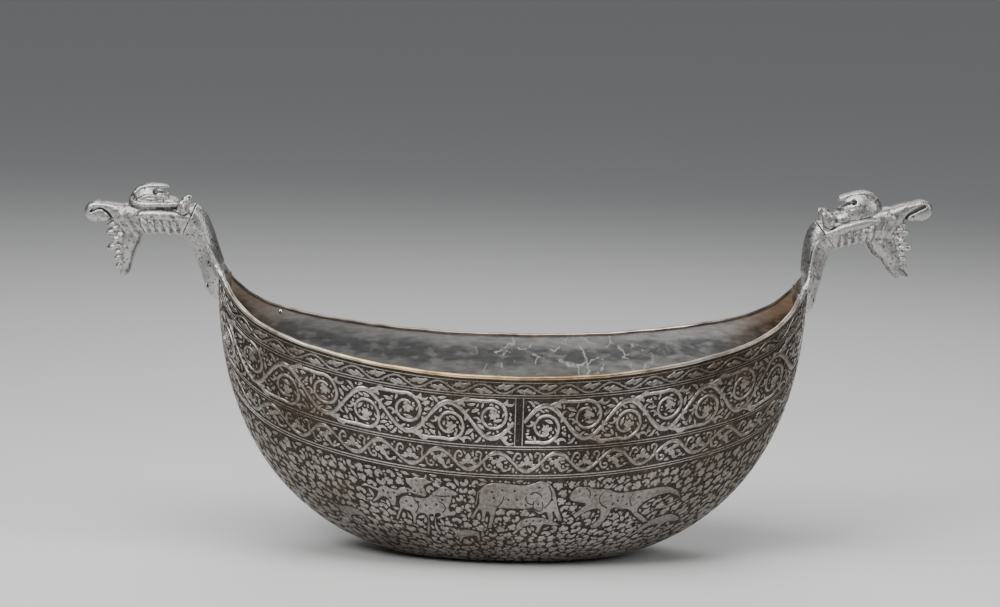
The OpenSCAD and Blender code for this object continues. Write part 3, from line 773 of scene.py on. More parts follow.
hound_outline = [
    (249.4, -40.8), (253.0, -35.1), (260.3, -32.6), (268.9, -32.3), (275.7, -34.2), (281.9, -36.5),
    (287.3, -39.2, 1), (282.0, -39.6), (276.6, -38.6), (272.6, -38.5), (271.4, -42.4), (270.0, -46.4, 1),
    (267.2, -45.6, 1), (267.7, -40.7), (262.8, -39.1), (257.2, -40.1), (252.7, -43.4), (248.4, -48.2, 1),
    (246.2, -47.2, 1), (249.6, -43.1)]
ox_outline = [
    (153.4, -27.4), (156.2, -23.7), (159.9, -21.9), (164.8, -21.6), (170.2, -22.0), (174.5, -21.8),
    (180.0, -19.3), (184.5, -15.3), (188.6, -12.6), (193.4, -10.8), (197.4, -12.0), (200.7, -13.7),
    (202.9, -15.1, 1), (201.3, -16.5), (198.0, -17.1), (197.2, -19.7), (196.0, -22.8), (193.4, -27.8),
    (194.6, -30.0), (198.6, -29.6), (198.6, -31.6), (190.9, -34.1), (181.9, -37.4, 1), (180.4, -36.5, 1),
    (185.4, -33.2), (181.6, -32.8), (179.1, -37.8), (178.1, -44.8), (178.7, -51.2, 1), (175.8, -52.2, 1),
    (175.4, -45.6), (178.8, -34.0), (176.0, -34.0), (173.0, -39.8), (170.6, -45.6), (165.2, -53.6, 1),
    (163.1, -53.8, 1), (168.5, -45.8), (172.6, -34.6), (165.8, -35.0), (163.4, -37.0), (158.8, -43.6, 1),
    (156.8, -43.9, 1), (159.1, -39.5), (159.8, -34.1), (157.2, -32.8), (153.9, -32.4), (151.2, -34.9),
    (144.0, -42.4, 1), (142.3, -42.1, 1), (147.5, -36.7), (152.4, -31.1)]
leopard_outline = [
    (139.5, -20.0), (142.2, -17.7), (146.2, -16.6), (150.0, -17.6), (155.4, -18.0), (157.7, -16.2),
    (162.2, -15.2), (168.2, -14.6), (166.3, -13.0), (164.6, -10.6), (165.0, -8.0, 1), (168.7, -7.8),
    (172.4, -6.4), (178.7, -5.8), (180.4, -2.6, 1), (181.2, -4.1), (180.7, -6.7), (185.0, -7.8, 1),
    (180.2, -10.4), (177.1, -12.3), (178.0, -15.2), (178.0, -18.6), (175.7, -20.2, 1), (174.0, -19.4),
    (170.8, -19.4), (167.0, -18.4), (163.2, -18.6), (158.6, -20.0), (155.1, -22.0), (153.0, -22.6),
    (151.0, -26.6), (148.8, -30.5, 1), (146.2, -31.6, 1), (145.6, -29.8), (145.2, -27.1), (143.4, -24.6),
    (140.1, -25.2), (135.6, -28.3), (130.4, -30.8, 1), (130.2, -29.8, 1), (136.0, -25.6), (138.4, -22.4)]
gazelle_outline = [
    (188.3, -43.8, 1), (191.0, -44.0), (194.0, -45.3), (195.6, -46.8), (197.8, -41.6, 1), (197.8, -46.0),
    (202.4, -45.4), (209.4, -45.6), (214.1, -46.7), (215.8, -49.2), (214.2, -56.2, 1), (212.1, -56.4, 1),
    (212.5, -51.4), (206.4, -51.5), (199.0, -53.4), (195.0, -57.8, 1), (192.6, -58.0, 1), (194.6, -53.0),
    (192.6, -50.8), (191.2, -47.1)]


def dot(size):
    angles = np.linspace(0, 2 * math.pi, 9)[:-1]
    return punched_leaf([(size * math.cos(a), size * math.sin(a)) for a in angles])


filled_height = relief_height + 0.08


def cut_line(points, width=0.85):
    flat, faces = chased_stem(points, [width] * len(points), filled_height, 3)
    flat[:, 2] = np.where(flat[:, 2] > 0, filled_height, relief_height - 0.1)
    return flat, faces


on_field = (0, field_top)
outlines = (bull_outline, lion_outline, hound_outline, ox_outline, leopard_outline, gazelle_outline)
for order, outline in enumerate(outlines):
    animals.place(chased_shape(outline, 3, 4.0), on_field, raise_by=0.03 * (order % 3))
animals.place(chased_shape(gazelle_outline, 3, 4.0), (-104.0, field_top + 6.0))
animals.place(chased_shape(hound_outline, 3, 4.0), (118.0, field_top - 8.0))
for tail, widths in (
        ([(220.4, -10.9), (218.2, -14.0), (217.6, -18.0), (216.0, -22.5)], [1.5, 1.3, 1.3, 1.9]),
        ([(139.4, -20.6), (136.4, -20.0), (133.0, -19.2), (129.6, -18.9), (126.6, -19.8)],
         [1.8, 1.5, 1.4, 1.3, 1.5])):
    animals.place(chased_stem(tail, widths), on_field)
for x, y in (
        (229.2, -12.1), (237.0, -10.4), (246.2, -10.8), (241.8, -17.7), (248.5, -17.6), (230.5, -16.8),
        (264.7, -8.1), (275.6, -17.7), (255.5, -22.0), (321.4, -17.2), (328.8, -22.0), (331.6, -19.0),
        (337.6, -25.6), (325.7, -24.3), (345.1, -21.3), (308.8, -16.0), (257.8, -35.6), (263.5, -34.9),
        (269.5, -35.4), (261.0, -37.6), (189.8, -21.0), (184.2, -25.4), (175.4, -26.8), (169.6, -25.0),
        (160.0, -25.6), (162.4, -29.1), (143.5, -20.2), (147.3, -25.0), (169.4, -16.6), (174.4, -17.0),
        (152.0, -20.4), (164.0, -16.9), (146.9, -21.0)):
    animal_lines.place(dot(1.0), (x, field_top + y), raise_by=0.16)
for x, y in ((265.4, -21.2), (295.6, -12.0), (193.9, -12.9), (172.6, -8.4)):
    animal_lines.place(dot(0.8), (x, field_top + y), raise_by=0.16)
limb_lines = (
    [(262.1, -21.2), (258.2, -20.8), (255.3, -18.2), (255.5, -14.6)],
    [(267.8, -15.6), (264.5, -12.5), (261.0, -12.0), (258.3, -13.8)],
    [(261.8, -18.4), (261.5, -22.9), (264.2, -26.0), (268.2, -26.6), (269.5, -23.6), (268.0, -19.1)],
    [(271.5, -6.8), (274.5, -12.9), (274.8, -19.2), (270.8, -24.2)],
    [(238.2, -15.2), (237.1, -19.4), (234.4, -22.6), (232.6, -24.2)],
    [(300.0, -9.6), (304.0, -13.1), (304.9, -17.9)],
    [(315.0, -13.8), (312.8, -17.5), (315.4, -23.0), (322.6, -27.2)],
    [(339.2, -17.6), (338.4, -21.8), (342.9, -27.6)],
    [(166.8, -23.2), (168.8, -26.4), (167.2, -30.9), (163.8, -34.2)],
    [(186.5, -22.5), (190.2, -24.6), (190.6, -28.3), (187.8, -31.4)],
    [(185.0, -18.0), (190.4, -18.2), (196.4, -17.4)])
for points in limb_lines:
    animal_lines.place(cut_line(points), on_field, raise_by=0.08)
# Darker again: painted shade of the belly.
animal_tin = tin_with_painted_light("animal_tin_painted_shade", [
    (0.14, 0.115, 0.095), (0.21, 0.195, 0.18), (0.28, 0.27, 0.255), (0.36, 0.35, 0.335)],
    (1.08, 1.06, 1.04))
animals.finish("animal_frieze", animal_tin)
animal_lines.finish("animal_chasing", ground_tin)

# Leaf ground
# Sprigs of trefoils and small leaves cover the rest of the belly down to the base, close together.
sprigs = [punched_leaf(corners) for corners in (
    [(0.4, -3.0), (0.5, -1.5), (1.5, -2.0), (2.7, -1.2), (2.8, 0.2), (1.7, 0.8), (1.6, 2.0), (0.8, 3.0),
     (-0.8, 3.0), (-1.6, 2.0), (-1.7, 0.8), (-2.8, 0.2), (-2.7, -1.2), (-1.5, -2.0), (-0.5, -1.5),
     (-0.4, -3.0)],
    [(-2.8, -1.6), (-1.2, -2.2), (0.8, -1.9), (2.3, -0.7), (2.7, 1.0), (1.9, 2.3), (0.6, 2.1), (0.6, 1.0),
     (0.0, 0.3), (-1.0, 0.4), (-1.5, 1.4), (-2.6, 1.2), (-3.0, -0.2)],
    [(0.0, -3.2), (1.0, -2.2), (2.2, -2.0), (2.7, -0.8), (1.6, 0.0), (2.0, 1.2), (1.3, 2.4), (0.0, 3.2),
     (-1.3, 2.4), (-1.8, 1.2), (-1.2, 0.2), (-2.5, -0.4), (-2.7, -1.6), (-1.2, -2.0)])]


def field_squeeze(y):
    depth = float(np.interp(-y - border_lines[2], field_fall, field_depths))
    spot = wall_point(np.array(1.5 * math.pi), depth) / np.array([half_l, half_w, 1])
    return float(np.hypot(spot[0], spot[1]))


leaf_ground = Band()
field_reach = 89.0
leaf_ground.open_ground(
    (band_ends[0], field_top - field_reach), (band_ends[1], field_top - 1.6), (animals,))
leaf_ground.sow(sprigs, 3.1, (0.95, 1.15), 11, field_squeeze, 5)
leaf_ground.sow(sprouts, 2.4, (0.75, 1.0), 12, field_squeeze, 6)
leaf_ground.sow(ground_leaves, 1.9, (0.8, 1.1), 13, field_squeeze, 6)
keel_leaf = punched_leaf([
    (0, -3.4), (1.1, -2.4), (1.7, -0.6), (1.2, 1.6), (0, 3.6), (-1.2, 1.6), (-1.7, -0.6), (-1.1, -2.4)])
beside_keel = 4.3
keel_from = -29.0
keel_to = field_top - 66.0
keel_pitch = 6.2
for along, lean in ((beside_keel, 0.65), (side_length - beside_keel, -0.65)):
    for y in np.arange(keel_from, keel_to, -keel_pitch).tolist():
        leaf_ground.place(keel_leaf, (along, y), lean, raise_by=0.01, squeeze=field_squeeze(y))
leaf_ground.finish("leaf_ground", field_tin)

# Rim strips
# A half-round strip of brass caps the raw edge from neck to neck, one along each long side. It is rubbed
# to a golden colour where it is held, at the middle of the front.
strip_width = 3.6
strip_height = 2.6
strip_end = 11.2


def half_round(minor):
    flat = np.sign(np.cos(minor)) * np.abs(np.cos(minor)) ** 0.7
    tall = np.sign(np.sin(minor)) * np.abs(np.sin(minor)) ** 0.8
    return flat * strip_width / 2, (tall - 1) * strip_height / 2


def strip_metal(name, gold_from, gold_to):
    metal = Metal(name, 1.0, 0.3)
    gold = (0.78, 0.58, 0.33)
    grey = (0.50, 0.45, 0.39)
    along = metal.along(gold_from, gold_to)
    along_colour = metal.ramp(along, [(0.0, grey), (0.3, gold), (0.72, gold), (1.0, grey)])
    rub = metal.noise(70, 5)
    rub_colour = metal.ramp(rub, [
        (0.34, (0.42, 0.38, 0.34)), (0.52, (0.85, 0.83, 0.80)), (0.66, (1.15, 1.12, 1.06))])
    metal.finish(metal.times(along_colour, rub_colour), rub, 0.0005, 0.6)
    return metal


for strip_name, side, metal in (
        ("rim_strip_front", -1, strip_metal("rubbed_front_brass", -0.14, 0.11)),
        ("rim_strip_back", 1, strip_metal("dull_back_brass", 0.5, 0.9))):
    bpy.ops.mesh.primitive_torus_add(
        major_segments=640, minor_segments=14, major_radius=1, minor_radius=0.1)
    strip = bpy.context.object
    strip.name = strip_name.replace("strip", "cap")
    hoop = mesh_points(strip)
    turn = np.arctan2(hoop[:, 1], hoop[:, 0])
    minor = np.arctan2(hoop[:, 2], np.hypot(hoop[:, 0], hoop[:, 1]) - 1)
    out, up = half_round(minor)
    out = out - wall_thickness / 2 - 0.15 + 0.12 * np.sin(turn * 31) + 0.08 * np.sin(turn * 53 + 1)
    up = up + 0.10 * np.sin(turn * 23 + 2) + 0.08 * np.sin(turn * 41)
    plan_normal = np.stack([half_w * np.cos(turn), half_l * np.sin(turn)], axis=-1)
    plan_normal /= np.linalg.norm(plan_normal, axis=-1, keepdims=True)
    capped = np.stack([
        half_l * np.cos(turn) + out * plan_normal[:, 0],
        half_w * np.sin(turn) + out * plan_normal[:, 1],
        rim_height(turn) + up], axis=-1)
    set_mesh_points(strip, capped * MM)
    delete_points(strip, capped[:, 1] * side < strip_end)
    bpy.ops.object.mode_set(mode="EDIT")
    bpy.ops.mesh.select_all(action="SELECT")
    bpy.ops.mesh.fill_holes(sides=0)
    bpy.ops.mesh.normals_make_consistent(inside=False)
    bpy.ops.object.mode_set(mode="OBJECT")
    strip.data.materials.append(metal.material)
    bpy.ops.object.shade_smooth()
    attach(strip, "root")
    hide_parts(strip_name)

# Necks
# A neck is cast with a lap on the outside of the prow and a foot that straddles the rim, and bends up to
# the seam with the head. A sharp ridge parts its shallow inner side from its rounded outer side.
prow_z = float(rim_height(np.array(0.0)))
foot_at = np.array([half_l + 4.0, prow_z])
seam_at = np.array([-7.3, -9.3])
seam_direction = 22.0
nape_swell = 5.0
lap_width = 25.0
wall_clearance = 0.004
strip_clearance = 6.6
dragons = {
    "left": {
        "facing": -1, "out": 29.0, "up": 38.0, "pitch": 0.5, "lean": 23.5, "swell": 1.3, "ridge_move": 0.1,
        "fuller": 1.8},
    "right": {
        "facing": 1, "out": 18.0, "up": 39.0, "pitch": 14.5, "lean": 13.5, "swell": 0.5, "ridge_move": 0.85,
        "fuller": -2.0},
}


def head_to_bowl(point, dragon):
    pitch = math.radians(dragon["pitch"])
    return np.array([
        half_l + dragon["out"] + point[0] * math.cos(pitch) - point[1] * math.sin(pitch),
        prow_z + dragon["up"] + point[0] * math.sin(pitch) + point[1] * math.cos(pitch)])


def section(at, direction, half_t, half_y, squareness=2.4, sides=32):
    angle = -2 * math.pi * np.arange(sides) / sides
    across = np.sign(np.cos(angle)) * np.abs(np.cos(angle)) ** (2 / squareness) * half_y
    up = np.sign(np.sin(angle)) * np.abs(np.sin(angle)) ** (2 / squareness) * half_t
    lean = math.radians(direction)
    return np.stack([at[0] - up * math.sin(lean), across, at[1] + up * math.cos(lean)], axis=-1)


def smooth_sections(keys, squareness=2.8):
    """Three sections for each given one, on a curve that passes through all of them."""
    keys = np.asarray(keys, dtype=float)
    padded = np.concatenate([2 * keys[:1] - keys[1:2], keys, 2 * keys[-1:] - keys[-2:-1]])
    run = []
    for i in range(1, len(padded) - 2):
        a, b, c, d = padded[i - 1:i + 3]
        for t in np.arange(3) / 3:
            curve = (2 * a - 5 * b + 4 * c - d) * t**2 + (3 * b - a - 3 * c + d) * t**3
            run.append(0.5 * (2 * b + (c - a) * t + curve))
    run.append(keys[-1])
    return [section(key[:2], *key[2:], squareness) for key in run]


def drawn_out(sections):
    """A disc pushed out step by step, each new end set to its own section."""
    bpy.ops.mesh.primitive_circle_add(vertices=len(sections[0]), fill_type="NGON")
    body = bpy.context.object
    set_mesh_points(body, sections[0])
    bpy.ops.object.mode_set(mode="EDIT")
    bpy.ops.mesh.select_all(action="SELECT")
    for before, after in zip(sections, sections[1:]):
        bpy.ops.mesh.extrude_region_move()
        shape = bmesh.from_edit_mesh(body.data)
        for corner in shape.verts:
            if corner.select:
                nearest = int(np.argmin(((before - np.array(corner.co)) ** 2).sum(axis=1)))
                corner.co = after[nearest]
        bmesh.update_edit_mesh(body.data)
    bpy.ops.mesh.select_all(action="SELECT")
    bpy.ops.mesh.normals_make_consistent(inside=False)
    bpy.ops.object.mode_set(mode="OBJECT")
    return body


def lump(centre, radii, turned=0.0, across=1):
    bpy.ops.mesh.primitive_uv_sphere_add(segments=24, ring_count=14, radius=1)
    body = bpy.context.object
    x, y, z = centre
    place = Matrix.Translation((x, across * y, z)) @ Matrix.Rotation(-math.radians(turned), 4, "Y")
    body.data.transform(place @ Matrix.Diagonal((*radii, 1)))
    return body


def rod(points, radii, across=1):
    curve_data = bpy.data.curves.new("rod", "CURVE")
    curve_data.dimensions = "3D"
    curve_data.bevel_depth = 1
    curve_data.bevel_resolution = 3
    curve_data.resolution_u = 6
    curve_data.use_fill_caps = True
    spline = curve_data.splines.new("BEZIER")
    spline.bezier_points.add(len(points) - 1)
    for knot, (x, y, z), radius in zip(spline.bezier_points, points, radii):
        knot.co = (x, across * y, z)
        knot.radius = radius
        knot.handle_left_type = "AUTO"
        knot.handle_right_type = "AUTO"
    return as_mesh(curve_data)


casting_skin = bpy.data.textures.new("casting_skin", "CLOUDS")
casting_skin.noise_scale = 2.6
casting_skin.noise_depth = 3


def fuse(body, grain):
    fusing = body.modifiers.new("fuse", "REMESH")
    fusing.mode = "VOXEL"
    fusing.voxel_size = grain


def cast(name, bodies, grain, smoothing, roughness, cutters=()):
    """Joins and fuses the bodies, cuts them, eases their edges and roughens their skin."""
    bpy.ops.object.select_all(action="DESELECT")
    for body in bodies:
        body.select_set(True)
    bpy.context.view_layer.objects.active = bodies[0]
    bpy.ops.object.join()
    whole = bpy.context.object
    whole.name = name
    fuse(whole, grain)
    for cutter in cutters:
        cut = whole.modifiers.new("cut", "BOOLEAN")
        cut.operation = "DIFFERENCE"
        cut.solver = "MANIFOLD"
        cut.object = cutter
    if cutters:
        fuse(whole, grain)
    ease = whole.modifiers.new("ease", "SMOOTH")
    ease.factor = 0.5
    ease.iterations = smoothing
    skin = whole.modifiers.new("skin", "DISPLACE")
    skin.texture = casting_skin
    skin.texture_coords = "LOCAL"
    skin.strength = roughness
    skin.mid_level = 0.5
    apply_modifiers(whole)
    for cutter in cutters:
        bpy.data.objects.remove(cutter, do_unlink=True)
    return whole


def settle(body, dragon, node_name, from_head=True):
    """Moves a finished casting from its own frame to the bowl's, in metres."""
    place = Matrix.Identity(4)
    if from_head:
        corner = head_to_bowl((0, 0), dragon)
        pitched = Matrix.Rotation(-math.radians(dragon["pitch"]), 4, "Y")
        place = Matrix.Translation((corner[0], 0, corner[1])) @ pitched
    mirror = Matrix.Diagonal((dragon["facing"], 1, 1, 1))
    body.data.transform(Matrix.Scale(MM, 4) @ mirror @ place)
    if dragon["facing"] < 0:
        body.data.flip_normals()
    body.data.materials.clear()
    body.data.materials.append(cast_tin.material)
    pick_only(body)
    bpy.ops.object.shade_smooth()
    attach(body, "root")
    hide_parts(node_name)


# Tinned casting: painted light on its edges and painted shade in its hollows, and dark in its pits.
cast_tin = Metal("pitted_cast_tin", 1.0, 0.38)
shape_info = cast_tin.nodes.new("ShaderNodeNewGeometry")
# Pointiness paints shade into the hollows and light onto the edges.
hollow = cast_tin.ramp(shape_info.outputs["Pointiness"], [
    (0.40, (0.03, 0.028, 0.026)), (0.47, (0.26, 0.255, 0.25)), (0.51, (0.52, 0.515, 0.51)),
    (0.57, (0.80, 0.795, 0.79))])
pits = cast_tin.noise(560, 4)
pit_colour = cast_tin.ramp(pits, [(0.33, (0.25, 0.24, 0.23)), (0.42, (0.90, 0.89, 0.88)), (0.60, 1.0)])
stain_colour = cast_tin.ramp(cast_tin.noise(60, 4), [(0.34, (0.74, 0.72, 0.70)), (0.54, 1.0)])
cast_tin.finish(cast_tin.times(hollow, pit_colour, stain_colour), pits, 0.0004, 0.8)


def neck_section(at, direction, inner, outer, half_y, blend, sides=40):
    """An inner and an outer bulge that meet in a ridge; blend rounds the ridge off towards the seam."""
    towards_inside = np.sin(-2 * math.pi * np.arange(sides) / sides) > 0
    depth = np.where(towards_inside, inner, outer)
    square = np.where(towards_inside, 1.5, 2.1) * (1 - blend) + 2.4 * blend
    return section(at, direction, depth, half_y, square, sides)


def through(a, b, c, t):
    return a * (1 - t) * (1 - 2 * t) + 4 * b * t * (1 - t) + c * t * (2 * t - 1)


for side_name, dragon in dragons.items():
    seam = head_to_bowl(seam_at, dragon)
    seam_lean = math.radians(seam_direction + dragon["pitch"])
    reach = np.linalg.norm(seam - foot_at) * 0.35
    foot_lean = math.radians(dragon["lean"])
    path = [
        foot_at,
        foot_at + reach * np.array([math.sin(foot_lean), math.cos(foot_lean)]),
        seam - 0.6 * reach * np.array([math.cos(seam_lean), math.sin(seam_lean)]),
        seam]
    sections = []
    for below, thick, share in (
            (24.5, 1.0, 0.42), (23.6, 3.0, 0.54), (21.0, 5.6, 0.68), (16.5, 7.6, 0.80), (11.0, 9.2, 0.90),
            (5.5, 10.6, 0.97)):
        lap = thick + 0.6 + dragon["fuller"] * min(1.0, thick / 9.0) ** 2
        lap_at = (half_l - 0.6, prow_z - below)
        sections.append(neck_section(lap_at, 90, 2.4, lap, lap_width / 2 * share, 0.0))
    ridge_run = []
    for t in np.linspace(0, 0.992, 17):
        at = (1 - t) ** 3 * path[0] + 3 * (1 - t) ** 2 * t * path[1]
        at = at + 3 * (1 - t) * t**2 * path[2] + t**3 * path[3]
        slope = (1 - t) ** 2 * (path[1] - path[0]) + 2 * (1 - t) * t * (path[2] - path[1])
        slope = slope + t**2 * (path[3] - path[2])
        lean = math.atan2(slope[1], slope[0])
        thick = through(16, 16.5, 20.4, t)
        share = 0.36 + 0.14 * t**4
        extra = nape_swell * t ** dragon["swell"]
        moved = extra * (dragon["ridge_move"] + (0.5 - dragon["ridge_move"]) * t**4)
        ridge_at = at + (thick * (0.5 - share) + moved) * np.array([-math.sin(lean), math.cos(lean)])
        inner = thick * share + extra - moved
        outer = thick * (1 - share) + moved + dragon["fuller"] * (1 - t**2)
        half_y = through(25, 21, 21.6, t) / 2
        sections.append(neck_section(ridge_at, math.degrees(lean), inner, outer, half_y, t**4))
        ridge_run.append(sections[-1][0])
    rim_hold = []
    for y in (31.0, 25.0, 19.0, 14.5):
        rim_turn = np.array(math.asin(y / half_w))
        rim_hold.append((half_l * math.cos(rim_turn) - 0.6, y, float(rim_height(rim_turn)) - 2.0))
    rising = [(x, abs(y) - 1.6, z) for x, y, z in ridge_run[2:9:3]]
    crest_line = [(x, abs(y) - 0.5, z) for x, y, z in ridge_run[:15:2]]
    corner = (half_l + 0.6, 11.4, prow_z - 1.0)
    shoulder = [*rim_hold, corner, *rising]
    shoulder_radii = (0.7, 1.5, 2.1, 2.8, 3.0, 2.6, 2.0, 1.4)
    ridge = rim_hold[2:] + crest_line
    ridge_radii = (0.6, 1.1, 1.4, 1.3, 1.3, 1.2, 1.2, 1.1, 1.0, 0.8)
    neck_parts = [drawn_out(sections)]
    for across in (-1, 1):
        neck_parts += [rod(shoulder, shoulder_radii, across), rod(ridge, ridge_radii, across)]
    neck = cast(side_name + "_neck_casting", neck_parts, 0.5, 3, 0.3)
    formed = mesh_points(neck)
    round_turn = np.arctan2(formed[:, 1] / half_w, formed[:, 0] / half_l)
    sunk = rim_height(round_turn) - formed[:, 2]
    wall_now = wall_point(round_turn, np.maximum(sunk, 0)) / np.array([half_l, half_w, 1])
    inmost = np.hypot(wall_now[:, 0], wall_now[:, 1]) - wall_clearance
    reach_now = np.hypot(formed[:, 0] / half_l, formed[:, 1] / half_w)
    push = np.where((sunk > strip_clearance) & (reach_now < inmost), inmost / reach_now, 1.0)
    formed[:, :2] *= push[:, None]
    set_mesh_points(neck, formed)
    settle(neck, dragon, side_name + "_neck", False)

# Heads
# Skull, cheeks and upper jaw are one casting, which runs out into a thick snout rolled under on itself,
# with a narrow slit left in the roll. Ribs ring the throat, a bar runs along the cheek and a ridge marks
# the jaw.
muzzle_at = np.array([33.5, -7.0])
snouts = {
    "left": {"roll": (56.4, -3.0), "size": (7.95, 7.4), "lip": (50.6, -6.0, 5.4, 3.7), "slit": [
        (60.6, -2.8), (58.8, -0.9), (55.4, 0.2), (51.2, 0.0), (47.6, -2.6), (43.6, -7.2), (44.4, -8.0),
        (48.4, -3.6), (51.6, -1.3), (55.0, -1.3), (57.6, -2.6), (59.4, -3.8)]},
    "right": {"roll": (60.0, -4.4), "size": (8.35, 7.2), "lip": (53.4, -6.8, 5.0, 3.4), "slit": [
        (64.2, -2.6), (62.6, -0.6), (59.0, -0.4), (54.6, -2.2), (50.4, -4.2), (45.6, -8.4), (46.4, -9.2),
        (51.0, -5.8), (54.8, -5.0), (59.0, -3.8), (61.8, -3.4)]},
}


def barrel(centre, size, half_y):
    """A roll lying across the head, flat on its two sides and rounded at their edges."""
    angle = -2 * math.pi * np.arange(40) / 40
    edge = ((-1.0, 0.40), (-0.95, 0.70), (-0.84, 0.88), (-0.6, 0.98), (-0.3, 1.0))
    rings = []
    for y, share in (*edge, *[(-y, share) for y, share in edge[::-1]]):
        x = centre[0] + size[0] * share * np.cos(angle)
        z = centre[1] + size[1] * share * np.sin(angle)
        rings.append(np.stack([x, np.full(40, y * half_y), z], axis=-1))
    return drawn_out(rings)


def slab(outline, half_y):
    """A plate of the given outline, standing across the head, to cut a slit or a slot with."""
    return drawn_out([np.array([(x, y, z) for x, z in outline]) for y in (-half_y, half_y)])


for side_name, dragon in dragons.items():
    snout = snouts[side_name]
    roll = np.array(snout["roll"])
    toward_roll = roll - muzzle_at
    fuller = 0.0 if side_name == "left" else 1.2
    groove_y, groove_z, groove_size = (11.2, 0.9, 0.8) if side_name == "left" else (11.6, -0.2, 1.5)
    keys = [
        (-8.24, -6.98, seam_direction, 12.7, 10.8), (-1, -7, 10, 10.4, 11.8), (6, -7, 5, 9.7, 12),
        (12, -7, 2, 9.6, 12), (19, -7.2, 2, 9.8, 11.8), (25, -7.6, 2, 10.3, 11.3),
        (*muzzle_at, 8, 10.2, 10.3),
        (*(muzzle_at + 0.31 * toward_roll + (0, 2.0 - 0.4 * fuller)), 18, 7.0 + 0.5 * fuller, 9.4),
        (*(muzzle_at + 0.57 * toward_roll + (0, 4.2 - 0.5 * fuller)), 14, 4.2 + 0.8 * fuller, 8.9),
        (*(roll + (-4.6, 4.0)), 4, 3.0, 8.7), (*(roll + (0.5, 3.4)), -2, 2.8, 8.0)]
    head_parts = [
        drawn_out(smooth_sections(keys)),
        barrel(roll, snout["size"], 9.0),
        barrel(snout["lip"][:2], snout["lip"][2:], 8.6),
        lump((37.0, 0, -5.6), (8.6, 10.9, 9.6), 45),
        lump((33.0, 0, -12.0), (6.0, 10.2, 8.0), 60)]
    grooves = []
    groove = [(x, groove_y, groove_z) for x in (-2.0, 8.0, 20.0, 31.0)]
    for across in (-1, 1):
        grooves.append(rod(groove, [groove_size] * 4, across))
        head_parts.append(rod(
            [(-9, 9.2, -5.6), (1, 10.1, -4.3), (13, 10.4, -3.6), (25, 9.4, -4.0), (31, 8.0, -5.4)],
            (2.8, 3.7, 3.8, 3.2, 2.2), across))
        for i, x in enumerate((1.0, 6.2, 11.4, 16.6, 21.6)):
            deep = -16.3 - 0.6 * math.sin(i * 2.1)
            fat = 2.35 - 0.12 * abs(i - 3)
            rib = [
                (x + 2.8, 10.6, -5.2), (x + 1.4, 11.5, -9.0), (x - 0.6, 10.6, -13.2), (x - 1.8, 6.6, deep)]
            head_parts.append(rod(rib, (1.8, fat, fat, 1.4), across))
        head_parts.append(rod(
            [(36.6, 7.2, 0.2), (35.0, 8.0, -5.5), (31.6, 8.2, -11.5), (26.6, 7.4, -19.5)],
            (2.0, 2.7, 3.0, 2.4), across))
        head_parts.append(rod(
            [(51.0, 6.8, 1.2), (46.4, 6.8, -1.6), (41.8, 7.0, -6.4), (37.0, 7.2, -12.0),
             (32.2, 6.8, -17.6)],
            (1.6, 2.3, 2.8, 2.8, 2.2), across))
        head_parts.append(lump((25.4, 9.0, -10.6), (3.4, 2.2, 2.6), 20, across))
    head = cast(side_name + "_head_casting", head_parts, 0.5, 7, 0.34, [slab(snout["slit"], 14), *grooves])
    settle(head, dragon, side_name + "_head")

# Crests
# The brow, the eyes and the curl that folds back over the forehead are one casting, soldered on the skull.
# The eye for the chain goes through under the curl, and the slot behind it is open.
chain_eye = (15.3, 12.2)
chain_eye_radius = 1.95
crests = {
    "left": {"dome": (19.0, 3.0), "size": (15.5, 10.0, 14.4), "curl": [
        (30.0, 10.6, 124, 1.8, 6.4), (26.6, 13.5, 146, 2.1, 6.2), (21.0, 15.25, 168, 2.3, 6.0),
        (14.4, 15.55, 182, 2.2, 5.4), (10.2, 15.5, 186, 1.9, 4.6), (7.4, 15.2, 188, 1.2, 3.4),
        (6.0, 15.0, 188, 0.5, 2.0)]},
    "right": {"dome": (18.6, 3.4), "size": (16.3, 11.3, 15.2), "curl": [
        (31.8, 10.5, 124, 2.2, 6.4), (28.0, 14.0, 142, 2.3, 6.4), (22.0, 16.2, 166, 2.4, 6.2),
        (15.0, 16.45, 180, 2.3, 5.6), (10.0, 16.2, 184, 2.2, 5.0), (7.0, 15.8, 187, 2.0, 4.4),
        (5.8, 15.5, 188, 1.5, 3.6)]},
}


def on_dome(dome, x, z, proud=0.0):
    """How far the brow's dome stands out to the side at one place."""
    (dome_x, dome_z), (size_x, size_y, size_z) = dome["dome"], dome["size"]
    bulge = max(0.05, 1 - ((x - dome_x) / size_x) ** 2 - ((z - dome_z) / size_z) ** 2)
    return size_y * math.sqrt(bulge) + proud


